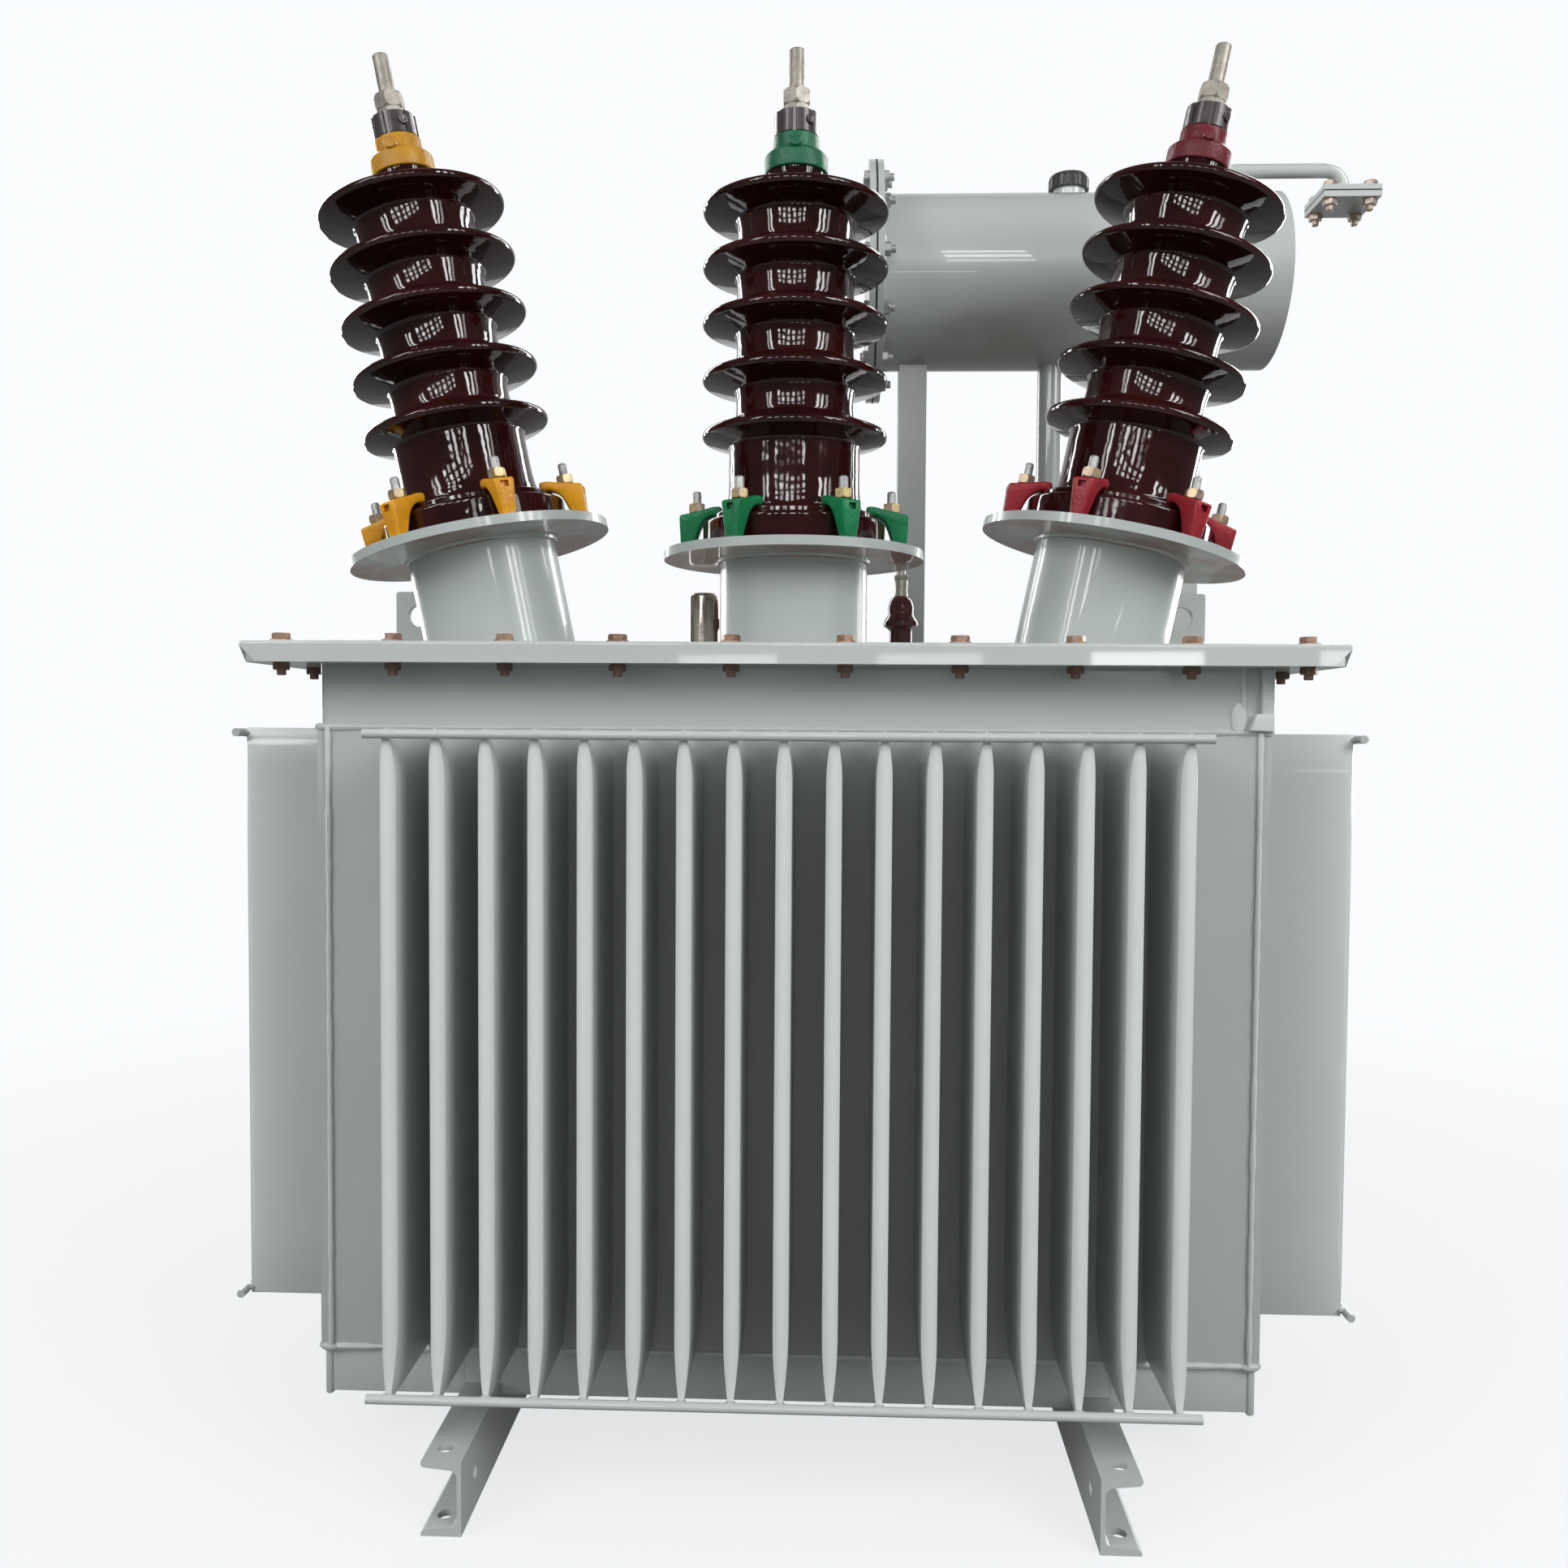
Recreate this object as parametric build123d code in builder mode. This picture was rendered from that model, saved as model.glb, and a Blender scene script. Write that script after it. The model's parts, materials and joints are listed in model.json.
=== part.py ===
from build123d import *
import os
from math import cos, radians, sin, tan

os.makedirs("parts", exist_ok=True)

# Driving dimensions in millimetres: X to the right, Y to the back, Z up, floor at Z = 0.

# Base channels, rolled section with tapered flanges
channel_height = 80.0
channel_flange = 43.0
channel_web = 5.0
channel_flange_mean = 8.0
channel_flange_slope = 0.1
channel_root_radius = 8.0
channel_toe_radius = 4.0
channel_length = 850.0
channel_inner_gap = 666.0
anchor_hole_diameter = 18.0
anchor_end_distance = 28.0
anchor_web_distance = 24.0
towing_hole_diameter = 16.0
towing_end_distance = 55.0

# Tank body
tank_width = 1090.0
tank_depth = 520.0
tank_corner_radius = 16.0
plate = 5.0
base_floor = 8.0
base_height = 45.0
base_inset = 7.0
base_lip = 4.0
fin_wall_height = 725.0
collar_height = 72.0

# Corrugated fins
fin_sheet = 1.5
fin_width = 17.0
fin_depth = 140.0
fin_pitch = 52.3
front_fin_count = 17
side_fin_count = 6
fin_top_margin = 1.0
fin_bottom_margin = 4.0
fin_top_taper = 55.0
fin_bottom_taper = 85.0
fin_pinch = 12.0
rod_diameter = 10.0
rod_overhang = 22.0
rod_end_distance = 6.0

# Cover, its frame and its gasket
rim_thickness = 12.0
gasket_thickness = 6.0
gasket_inset = 3.0
cover_thickness = 6.0
cover_overhang = 63.0
cover_skirt_height = 24.0
cover_skirt_thickness = 4.0
cover_fold_radius = 4.0
cover_skirt_clearance = 1.5

# High voltage risers, leaning outwards on both sides of an upright one
riser_end_distance = 241.5
riser_row_spacing = 190.0
riser_lean = 11.7
riser_outer_radius = 91.5
riser_wall = 5.0
middle_riser_height = 124.0
outer_riser_height = 139.0
riser_flange_radius = 161.0
riser_flange_thickness = 11.0

# High voltage porcelain
foot_radius = 113.0
foot_height = 36.0
tier_radius = 102.0
tier_height = 9.0
body_radius = 81.0
core_radius = 75.0
shed_radius = 114.5
shed_rim = 8.0
shed_count = 5
first_shed = 142.0
shed_pitch = 68.7
shed_drop = 12.5
shed_rise = 20.0
neck_radius = 36.0
neck_rise = 31.0
neck_height = 15.0

# Clamps on the porcelain foot
clamp_count = 6
clamp_foot_width = 15.0
clamp_head_width = 28.0
clamp_leg_clearance = 2.0
clamp_leg_slope = 6.0
clamp_leg_foot = 16.0
clamp_leg_flare = 5.0
clamp_leg_height = 46.5
clamp_toe_overlap = 14.0
clamp_toe_thickness = 12.0
clamp_hollow = 9.0
clamp_round = 6.0

# High voltage terminal
cap_radius = 39.0
cap_height = 25.0
cap_bevel = 5.0
cap_neck_radius = 28.4
cap_neck_height = 20.0
sleeve_radius = 27.6
sleeve_height = 28.0
stud_radius = 10.0
stud_height = 80.0

# Low voltage bushings
low_count = 4
low_pitch = 75.0
low_right_x = 143.5
low_row_spacing = 110.0
low_body_radius = 18.5
low_body_height = 49.0
low_shed_radius = 24.0
low_shed_rim = 5.0
low_shed_height = 19.0
low_dome_radius = 17.5
low_dome_height = 22.0
low_barrel_radius = 9.5
low_barrel_height = 24.0
low_stud_radius = 6.0
low_stud_height = 17.0

# Conservator, placed from the right and rear edges of the cover, and the fittings along it
conservator_overhang = 62.0
conservator_rear_distance = 133.0
conservator_axis_height = 554.0
conservator_length = 565.0
conservator_radius = 121.5
conservator_wall = 4.0
conservator_flange_radius = 166.0
conservator_flange_thickness = 10.0
post_leg = 40.0
post_thickness = 4.0
left_post_distance = 37.0
right_post_distance = 136.0
oil_pipe_distance = 257.0
oil_pipe_radius = 18.0
oil_pipe_wall = 4.0
filler_distance = 280.0
filler_neck_radius = 23.0
filler_neck_height = 10.0
filler_cap_radius = 29.0
filler_cap_height = 23.0
breather_end_distance = 70.0
breather_reach = 106.0
breather_radius = 10.0
breather_bend = 25.0
breather_rise = 36.5
breather_drop = 34.5
breather_flange = 80.0
breather_flange_thickness = 7.0
breather_gasket = 2.0
breather_plate_thickness = 8.0

# Cover fittings
lug_edge_distance = 93.0
lug_rear_distance = 293.0
lug_width = 62.0
lug_height = 89.5
lug_thickness = 12.0
lug_corner = 4.0
lug_hole_diameter = 30.0
lug_hole_height = 57.0
relief_distance = 48.5
relief_radius = 22.5
relief_height = 94.0
relief_bevel = 5.0

# Levels from the floor up
base_top = channel_height + base_height
fin_wall_top = base_top + fin_wall_height
collar_top = fin_wall_top + collar_height
rim_top = collar_top + rim_thickness
gasket_top = rim_top + gasket_thickness
cover_top = gasket_top + cover_thickness
cover_width = tank_width + 2 * cover_overhang
cover_depth = tank_depth + 2 * cover_overhang

# Rows on the cover, counted forwards from the conservator, and the outer risers from the cover ends
conservator_axis_y = cover_depth / 2 - conservator_rear_distance
low_y = conservator_axis_y - low_row_spacing
riser_y = low_y - riser_row_spacing
riser_spacing = cover_width / 2 - riser_end_distance

# Base channels: the section is drawn once and the left channel mirrors the right one.
web_face = channel_inner_gap / 2
flange_edge = web_face + channel_flange
taper = channel_flange_slope * (channel_flange - channel_web) / 2
toe = channel_flange_mean - taper
root = channel_flange_mean + taper
anchor_x = web_face + anchor_web_distance
anchor_y = channel_length / 2 - anchor_end_distance
towing_y = channel_length / 2 - towing_end_distance

with BuildPart() as right_channel:
    with BuildSketch(Plane.XZ) as channel_section:
        with BuildLine():
            Polyline(
                (web_face, 0),
                (flange_edge, 0),
                (flange_edge, toe),
                (web_face + channel_web, root),
                (web_face + channel_web, channel_height - root),
                (flange_edge, channel_height - toe),
                (flange_edge, channel_height),
                (web_face, channel_height),
                close=True,
            )
        make_face()
        corners = channel_section.vertices()
        fillet(corners.group_by(Axis.X)[1], radius=channel_root_radius)
        toes = channel_section.vertices().group_by(Axis.X)[-1].sort_by(Axis.Y)[1:3]
        fillet(toes, radius=channel_toe_radius)
    extrude(amount=channel_length / 2, both=True)
    with Locations((anchor_x, -anchor_y, channel_height), (anchor_x, anchor_y, channel_height)):
        Hole(radius=anchor_hole_diameter / 2)
    with BuildSketch(Plane.YZ.offset(web_face)):
        with Locations((-towing_y, channel_height / 2), (towing_y, channel_height / 2)):
            Circle(towing_hole_diameter / 2)
    extrude(amount=channel_web, mode=Mode.SUBTRACT)
right_channel.part.label = "right_channel"
export_step(right_channel.part, "parts/right_channel.step")

with BuildPart() as left_channel:
    mirror(right_channel.part, about=Plane.YZ)
left_channel.part.label = "left_channel"
export_step(left_channel.part, "parts/left_channel.step")

# Tank base: a shallow pan on the channels with a lip that carries the fin walls.
base_width = tank_width - 2 * base_inset
base_depth = tank_depth - 2 * base_inset
base_radius = tank_corner_radius - base_inset

with BuildPart() as tank_base:
    with BuildSketch(Plane.XY.offset(channel_height)):
        RectangleRounded(base_width, base_depth, base_radius)
    extrude(amount=base_height)
    with BuildSketch(Plane.XY.offset(base_top - base_lip)):
        RectangleRounded(tank_width, tank_depth, tank_corner_radius)
    extrude(amount=base_lip)
    with BuildSketch(Plane.XY.offset(channel_height + base_floor)):
        Rectangle(base_width - 2 * plate, base_depth - 2 * plate)
    extrude(amount=base_height - base_floor, mode=Mode.SUBTRACT)
tank_base.part.label = "tank_base"
export_step(tank_base.part, "parts/tank_base.step")

# One hollow fin, standing on the plane Y = 0 and reaching out to -Y. The two skins come together
# in a pointed arch at both ends and turn round a nose at the front.
fin_bottom = base_top + fin_bottom_margin
fin_top = fin_wall_top - fin_top_margin


def fin_body(half_width, tip_half_width, tip_inset, reach):
    low = fin_bottom + tip_inset
    high = fin_top - tip_inset
    shoulder_low = fin_bottom + fin_bottom_taper
    shoulder_high = fin_top - fin_top_taper
    with BuildPart() as body:
        with BuildSketch(Plane.XZ):
            with BuildLine():
                Line((0, low), (tip_half_width, low))
                TangentArc((half_width, shoulder_low), (tip_half_width, low), tangent=(0, -1))
                Line((half_width, shoulder_low), (half_width, shoulder_high))
                TangentArc((half_width, shoulder_high), (tip_half_width, high), tangent=(0, 1))
                Line((tip_half_width, high), (0, high))
                Line((0, high), (0, low))
            make_face()
            mirror(about=Plane.YZ)
        extrude(amount=reach)
        with BuildSketch(Plane.XY):
            with Locations((0, (half_width - reach) / 2)):
                Rectangle(2 * half_width, reach - half_width)
            with Locations((0, half_width - reach)):
                Circle(half_width)
        extrude(amount=fin_wall_top, mode=Mode.INTERSECT)
    return body.part


fin_skin = fin_body(fin_width / 2, fin_sheet, 0, fin_depth)
fin_cavity = fin_body(fin_width / 2 - fin_sheet, fin_sheet / 2, fin_pinch, fin_depth)

# Fin walls: a flat sheet with a row of hollow fins open to the oil. The front wall is as wide as the
# tank and the side walls stand between the front and rear ones.
front_row = [(place - (front_fin_count - 1) / 2) * fin_pitch for place in range(front_fin_count)]
side_row = [(place - (side_fin_count - 1) / 2) * fin_pitch for place in range(side_fin_count)]

with BuildPart() as front_fin_wall:
    with BuildSketch(Plane.XY.offset(base_top)):
        with Locations((0, (fin_sheet - tank_depth) / 2)):
            Rectangle(tank_width, fin_sheet)
    extrude(amount=fin_wall_height)
    with Locations([(x, -tank_depth / 2, 0) for x in front_row]):
        add(fin_skin)
    with Locations([(x, fin_sheet - tank_depth / 2, 0) for x in front_row]):
        add(fin_cavity, mode=Mode.SUBTRACT)
front_fin_wall.part.label = "front_fin_wall"
export_step(front_fin_wall.part, "parts/front_fin_wall.step")

with BuildPart() as rear_fin_wall:
    mirror(front_fin_wall.part, about=Plane.XZ)
rear_fin_wall.part.label = "rear_fin_wall"
export_step(rear_fin_wall.part, "parts/rear_fin_wall.step")

with BuildPart() as left_fin_wall:
    with BuildSketch(Plane.XY.offset(base_top)):
        with Locations(((fin_sheet - tank_width) / 2, 0)):
            Rectangle(fin_sheet, tank_depth - 2 * fin_sheet)
    extrude(amount=fin_wall_height)
    with Locations([Location((-tank_width / 2, y, 0), (0, 0, -90)) for y in side_row]):
        add(fin_skin)
    with Locations([Location((fin_sheet - tank_width / 2, y, 0), (0, 0, -90)) for y in side_row]):
        add(fin_cavity, mode=Mode.SUBTRACT)
left_fin_wall.part.label = "left_fin_wall"
export_step(left_fin_wall.part, "parts/left_fin_wall.step")

with BuildPart() as right_fin_wall:
    mirror(left_fin_wall.part, about=Plane.YZ)
right_fin_wall.part.label = "right_fin_wall"
export_step(right_fin_wall.part, "parts/right_fin_wall.step")

# Round bars welded across the fin noses, one near the top and one near the bottom of each wall.
rod_levels = (fin_bottom + rod_end_distance, fin_top - rod_end_distance)
rod_front = tank_depth / 2 + fin_depth + rod_diameter / 2
rod_side = tank_width / 2 + fin_depth + rod_diameter / 2
front_rod_length = front_row[-1] - front_row[0] + 2 * rod_overhang
side_rod_length = side_row[-1] - side_row[0] + 2 * rod_overhang

for side, direction in (("front", -1), ("rear", 1)):
    with BuildPart() as fin_rods:
        with BuildSketch(Plane.YZ):
            with Locations([(direction * rod_front, level) for level in rod_levels]):
                Circle(rod_diameter / 2)
        extrude(amount=front_rod_length / 2, both=True)
    fin_rods.part.label = f"{side}_fin_rods"
    export_step(fin_rods.part, f"parts/{side}_fin_rods.step")

for side, direction in (("left", -1), ("right", 1)):
    with BuildPart() as fin_rods:
        with BuildSketch(Plane.XZ):
            with Locations([(direction * rod_side, level) for level in rod_levels]):
                Circle(rod_diameter / 2)
        extrude(amount=side_rod_length / 2, both=True)
    fin_rods.part.label = f"{side}_fin_rods"
    export_step(fin_rods.part, f"parts/{side}_fin_rods.step")

# Collar: the plain band that closes the tank above the fins.
with BuildPart() as tank_collar:
    with BuildSketch(Plane.XY.offset(fin_wall_top)):
        RectangleRounded(tank_width, tank_depth, tank_corner_radius)
        Rectangle(tank_width - 2 * plate, tank_depth - 2 * plate, mode=Mode.SUBTRACT)
    extrude(amount=collar_height)
tank_collar.part.label = "tank_collar"
export_step(tank_collar.part, "parts/tank_collar.step")

# Rim and gasket: a flat frame on the collar and the rubber between it and the cover.
skirt_room = 2 * (cover_skirt_thickness + cover_skirt_clearance)
rim_width = cover_width - skirt_room
rim_depth = cover_depth - skirt_room

with BuildPart() as tank_rim:
    with BuildSketch(Plane.XY.offset(collar_top)):
        Rectangle(rim_width, rim_depth)
        Rectangle(tank_width - 2 * plate, tank_depth - 2 * plate, mode=Mode.SUBTRACT)
    extrude(amount=rim_thickness)
tank_rim.part.label = "tank_rim"
export_step(tank_rim.part, "parts/tank_rim.step")

with BuildPart() as rim_gasket:
    with BuildSketch(Plane.XY.offset(rim_top)):
        Rectangle(rim_width - 2 * gasket_inset, rim_depth - 2 * gasket_inset)
        Rectangle(tank_width - 2 * plate, tank_depth - 2 * plate, mode=Mode.SUBTRACT)
    extrude(amount=gasket_thickness)
rim_gasket.part.label = "rim_gasket"
export_step(rim_gasket.part, "parts/rim_gasket.step")

# Cover: one sheet folded down on four sides, with corners left open at a mitre.
fold_drop = cover_skirt_height - cover_thickness
skirt_bottom = cover_top - cover_skirt_height

with BuildPart() as tank_cover:
    with BuildSketch(Plane.XY.offset(gasket_top)):
        Rectangle(cover_width, cover_depth)
    extrude(amount=cover_thickness)
    for skirt_plane, length in (
        (Plane.XZ.offset(cover_depth / 2), cover_width),
        (Plane.YZ.offset(cover_width / 2), cover_depth),
    ):
        with BuildSketch(skirt_plane):
            with BuildLine():
                Polyline(
                    (-length / 2, gasket_top),
                    (length / 2, gasket_top),
                    (length / 2 - fold_drop, skirt_bottom),
                    (fold_drop - length / 2, skirt_bottom),
                    close=True,
                )
            make_face()
        extrude(amount=-cover_skirt_thickness)
    mirror(about=Plane.XZ)
    mirror(about=Plane.YZ)
    fillet(tank_cover.faces().sort_by(Axis.Z)[-1].outer_wire().edges(), radius=cover_fold_radius)
tank_cover.part.label = "tank_cover"
export_step(tank_cover.part, "parts/tank_cover.step")


# The three high voltage axes: the middle one is upright and the outer two lean outwards.
def phase_plane(direction, height):
    lean = radians(direction * riser_lean)
    along = (sin(lean), 0, cos(lean))
    foot = (direction * riser_spacing, riser_y, cover_top)
    origin = tuple(start + height * step for start, step in zip(foot, along))
    return Plane(origin=origin, x_dir=(cos(lean), 0, -sin(lean)), z_dir=along)


def section_plane(axis_plane):
    return Plane(origin=axis_plane.origin, x_dir=axis_plane.x_dir, z_dir=-axis_plane.y_dir)


phases = (
    ("left", -1, outer_riser_height),
    ("middle", 0, middle_riser_height),
    ("right", 1, outer_riser_height),
)

# Risers: tubes welded to the cover, each with a round flange, cut off level at the cover.
riser_root = riser_outer_radius * tan(radians(riser_lean)) + riser_wall
riser_bore = riser_outer_radius - riser_wall

for phase, direction, height in phases:
    seat = phase_plane(direction, height)
    with BuildPart() as riser:
        with BuildSketch(section_plane(seat)):
            with BuildLine():
                Polyline(
                    (riser_bore, -height - riser_root),
                    (riser_outer_radius, -height - riser_root),
                    (riser_outer_radius, -riser_flange_thickness),
                    (riser_flange_radius, -riser_flange_thickness),
                    (riser_flange_radius, 0),
                    (riser_bore, 0),
                    close=True,
                )
            make_face()
        revolve(axis=Axis(seat.origin, seat.z_dir))
        split(bisect_by=Plane.XY.offset(cover_top), keep=Keep.TOP)
    riser.part.label = f"{phase}_riser"
    export_step(riser.part, f"parts/{phase}_riser.step")

# Porcelain: a stepped foot, a core with five sloping sheds and a narrow neck.
seat_height = foot_height + tier_height
shed_levels = [first_shed + place * shed_pitch for place in range(shed_count)]
neck_base = shed_levels[-1] + neck_rise
porcelain_height = neck_base + neck_height

foot_outline = [
    (0, 0),
    (foot_radius, 0),
    (foot_radius, foot_height),
    (tier_radius, foot_height),
    (tier_radius, seat_height),
    (body_radius, seat_height),
    (body_radius, first_shed - shed_drop),
]
shed_outline = []
for level in shed_levels:
    shed_outline += [
        (core_radius, level - shed_drop),
        (shed_radius, level - shed_rim / 2),
        (shed_radius, level + shed_rim / 2),
        (core_radius, level + shed_rise),
    ]
neck_outline = [
    (neck_radius, neck_base),
    (neck_radius, porcelain_height),
    (0, porcelain_height),
]

for phase, direction, height in phases:
    seat = phase_plane(direction, height)
    with BuildPart() as bushing:
        with BuildSketch(section_plane(seat)):
            with BuildLine():
                Polyline(*foot_outline, *shed_outline[1:-1], *neck_outline, close=True)
            make_face()
        revolve(axis=Axis(seat.origin, seat.z_dir))
    bushing.part.label = f"{phase}_bushing"
    export_step(bushing.part, f"parts/{phase}_bushing.step")

# Clamps: six hooks round each foot, with a tapered leg on the flange and a toe on the upper step.
leg_inner = foot_radius + clamp_leg_clearance
leg_outer = leg_inner + clamp_leg_slope + clamp_leg_foot
toe_radius = tier_radius - clamp_toe_overlap
toe_top = seat_height + clamp_toe_thickness

with BuildPart() as clamp:
    with BuildSketch(Plane.XZ) as clamp_side:
        with BuildLine():
            Polyline(
                (leg_inner + clamp_leg_slope, 0),
                (leg_outer, 0),
                (leg_outer + clamp_leg_flare, clamp_leg_height),
                (leg_inner, toe_top),
                (toe_radius, toe_top),
                (toe_radius, seat_height),
                (leg_inner - clamp_hollow, seat_height),
                (leg_inner, seat_height - clamp_hollow),
                close=True,
            )
        make_face()
        fillet(clamp_side.vertices().sort_by(Axis.X)[-1], radius=clamp_round)
    extrude(amount=clamp_head_width / 2, both=True)
    with BuildSketch(Plane.YZ):
        with BuildLine():
            Polyline(
                (-clamp_foot_width / 2, 0),
                (clamp_foot_width / 2, 0),
                (clamp_head_width / 2, toe_top),
                (-clamp_head_width / 2, toe_top),
                close=True,
            )
        make_face()
    extrude(amount=leg_outer + clamp_leg_flare, mode=Mode.INTERSECT)

for phase, direction, height in phases:
    with BuildPart(phase_plane(direction, height)) as bushing_clamps:
        with PolarLocations(0, clamp_count):
            add(clamp.part)
    bushing_clamps.part.label = f"{phase}_bushing_clamps"
    export_step(bushing_clamps.part, f"parts/{phase}_bushing_clamps.step")

# Terminals: a stepped metal cap on each neck, a dark sleeve and the threaded stud.
cap_top = cap_height + cap_neck_height
sleeve_base = porcelain_height + cap_top
stud_base = sleeve_base + sleeve_height

for phase, direction, height in phases:
    seat = phase_plane(direction, height + porcelain_height)
    with BuildPart() as terminal_cap:
        with BuildSketch(section_plane(seat)):
            with BuildLine():
                Polyline(
                    (0, 0),
                    (cap_radius, 0),
                    (cap_radius, cap_height - cap_bevel),
                    (cap_radius - cap_bevel, cap_height),
                    (cap_neck_radius, cap_height),
                    (cap_neck_radius, cap_top),
                    (0, cap_top),
                    close=True,
                )
            make_face()
        revolve(axis=Axis(seat.origin, seat.z_dir))
    terminal_cap.part.label = f"{phase}_terminal_cap"
    export_step(terminal_cap.part, f"parts/{phase}_terminal_cap.step")

    with BuildPart() as terminal_sleeve:
        with BuildSketch(phase_plane(direction, height + sleeve_base)):
            Circle(sleeve_radius)
        extrude(amount=sleeve_height)
    terminal_sleeve.part.label = f"{phase}_terminal_sleeve"
    export_step(terminal_sleeve.part, f"parts/{phase}_terminal_sleeve.step")

    with BuildPart() as terminal_stud:
        with BuildSketch(phase_plane(direction, height + stud_base)):
            Circle(stud_radius)
        extrude(amount=stud_height)
    terminal_stud.part.label = f"{phase}_terminal_stud"
    export_step(terminal_stud.part, f"parts/{phase}_terminal_stud.step")

# Low voltage bushings: a row of small turned porcelains with their terminal barrels and studs.
low_places = [(low_right_x - place * low_pitch, low_y, cover_top) for place in range(low_count)]
low_shed_top = low_body_height + low_shed_height
low_top = low_shed_top + low_dome_height

with BuildPart() as low_porcelain:
    with BuildSketch(Plane.XZ):
        with BuildLine():
            Polyline(
                (0, 0),
                (low_body_radius, 0),
                (low_body_radius, low_body_height),
                (low_shed_radius, low_body_height),
                (low_shed_radius, low_body_height + low_shed_rim),
                (low_dome_radius, low_shed_top),
                (low_barrel_radius, low_top),
                (0, low_top),
                close=True,
            )
        make_face()
    revolve(axis=Axis.Z)

with BuildPart() as low_voltage_bushings:
    with Locations(low_places):
        add(low_porcelain.part)
low_voltage_bushings.part.label = "low_voltage_bushings"
export_step(low_voltage_bushings.part, "parts/low_voltage_bushings.step")

with BuildPart() as low_voltage_studs:
    with BuildSketch(Plane.XY.offset(cover_top + low_top)):
        with Locations([(x, y) for x, y, level in low_places]):
            Circle(low_barrel_radius)
    extrude(amount=low_barrel_height)
    with BuildSketch(Plane.XY.offset(cover_top + low_top + low_barrel_height)):
        with Locations([(x, y) for x, y, level in low_places]):
            Circle(low_stud_radius)
    extrude(amount=low_stud_height)
low_voltage_studs.part.label = "low_voltage_studs"
export_step(low_voltage_studs.part, "parts/low_voltage_studs.step")

# Conservator: a drum lying along X, closed on the right, with a bolting flange and a cover on the left.
conservator_right = cover_width / 2 + conservator_overhang
conservator_left = conservator_right - conservator_length
conservator_axis_z = cover_top + conservator_axis_height
drum_axis = Axis((0, conservator_axis_y, conservator_axis_z), (1, 0, 0))
drum_section = Plane(origin=drum_axis.position, x_dir=(1, 0, 0), z_dir=(0, -1, 0))
drum_bore = conservator_radius - conservator_wall

with BuildPart() as conservator_shell:
    with BuildSketch(drum_section):
        with BuildLine():
            Polyline(
                (conservator_left, drum_bore),
                (conservator_left, conservator_radius),
                (conservator_right, conservator_radius),
                (conservator_right, 0),
                (conservator_right - conservator_wall, 0),
                (conservator_right - conservator_wall, drum_bore),
                close=True,
            )
        make_face()
    revolve(axis=drum_axis)
conservator_shell.part.label = "conservator_shell"
export_step(conservator_shell.part, "parts/conservator_shell.step")

with BuildPart() as conservator_flange:
    with BuildSketch(Plane.YZ.offset(conservator_left)):
        with Locations((conservator_axis_y, conservator_axis_z)):
            Circle(conservator_flange_radius)
            Circle(conservator_radius, mode=Mode.SUBTRACT)
    extrude(amount=conservator_flange_thickness)
conservator_flange.part.label = "conservator_flange"
export_step(conservator_flange.part, "parts/conservator_flange.step")

with BuildPart() as conservator_cover:
    with BuildSketch(Plane.YZ.offset(conservator_left)):
        with Locations((conservator_axis_y, conservator_axis_z)):
            Circle(conservator_flange_radius)
    extrude(amount=-conservator_flange_thickness)
conservator_cover.part.label = "conservator_cover"
export_step(conservator_cover.part, "parts/conservator_cover.step")

# The outside of the drum, used to cut what is welded to it.
with BuildPart() as drum:
    with BuildSketch(Plane.YZ.offset(conservator_left)):
        with Locations((conservator_axis_y, conservator_axis_z)):
            Circle(conservator_radius)
    extrude(amount=conservator_length)

# Posts: two angles standing on the cover and cut to the round of the drum.
post_front = conservator_axis_y - post_leg / 2

with BuildPart() as conservator_posts:
    for post_x in (conservator_left + left_post_distance, conservator_right - right_post_distance):
        with BuildSketch(Plane.XY.offset(cover_top)):
            with Locations((post_x, post_front)):
                Rectangle(post_leg, post_thickness, align=Align.MIN)
                Rectangle(post_thickness, post_leg, align=Align.MIN)
        extrude(amount=conservator_axis_z - cover_top)
    add(drum.part, mode=Mode.SUBTRACT)
conservator_posts.part.label = "conservator_posts"
export_step(conservator_posts.part, "parts/conservator_posts.step")

# Oil pipe between the cover and the underside of the drum.
with BuildPart() as oil_pipe:
    with BuildSketch(Plane.XY.offset(cover_top)):
        with Locations((conservator_left + oil_pipe_distance, conservator_axis_y)):
            Circle(oil_pipe_radius)
            Circle(oil_pipe_radius - oil_pipe_wall, mode=Mode.SUBTRACT)
    extrude(amount=conservator_axis_z - cover_top)
    add(drum.part, mode=Mode.SUBTRACT)
oil_pipe.part.label = "oil_pipe"
export_step(oil_pipe.part, "parts/oil_pipe.step")

# Filler: a short neck on top of the drum and its screw cap.
drum_top = conservator_axis_z + conservator_radius
filler_x = conservator_left + filler_distance
filler_neck_top = drum_top + filler_neck_height

with BuildPart() as filler_neck:
    with BuildSketch(Plane.XY.offset(conservator_axis_z)):
        with Locations((filler_x, conservator_axis_y)):
            Circle(filler_neck_radius)
    extrude(amount=filler_neck_top - conservator_axis_z)
    add(drum.part, mode=Mode.SUBTRACT)
filler_neck.part.label = "filler_neck"
export_step(filler_neck.part, "parts/filler_neck.step")

with BuildPart() as filler_cap:
    with BuildSketch(Plane.XY.offset(filler_neck_top)):
        with Locations((filler_x, conservator_axis_y)):
            Circle(filler_cap_radius)
    extrude(amount=filler_cap_height)
filler_cap.part.label = "filler_cap"
export_step(filler_cap.part, "parts/filler_cap.step")

# Breather pipe: up out of the drum, along it and down to a square flange with a blank plate.
breather_x = conservator_right - breather_end_distance
breather_end_x = conservator_right + breather_reach
breather_level = drum_top + breather_rise
breather_flange_top = breather_level - breather_drop
breather_flange_base = breather_flange_top - breather_flange_thickness

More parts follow.
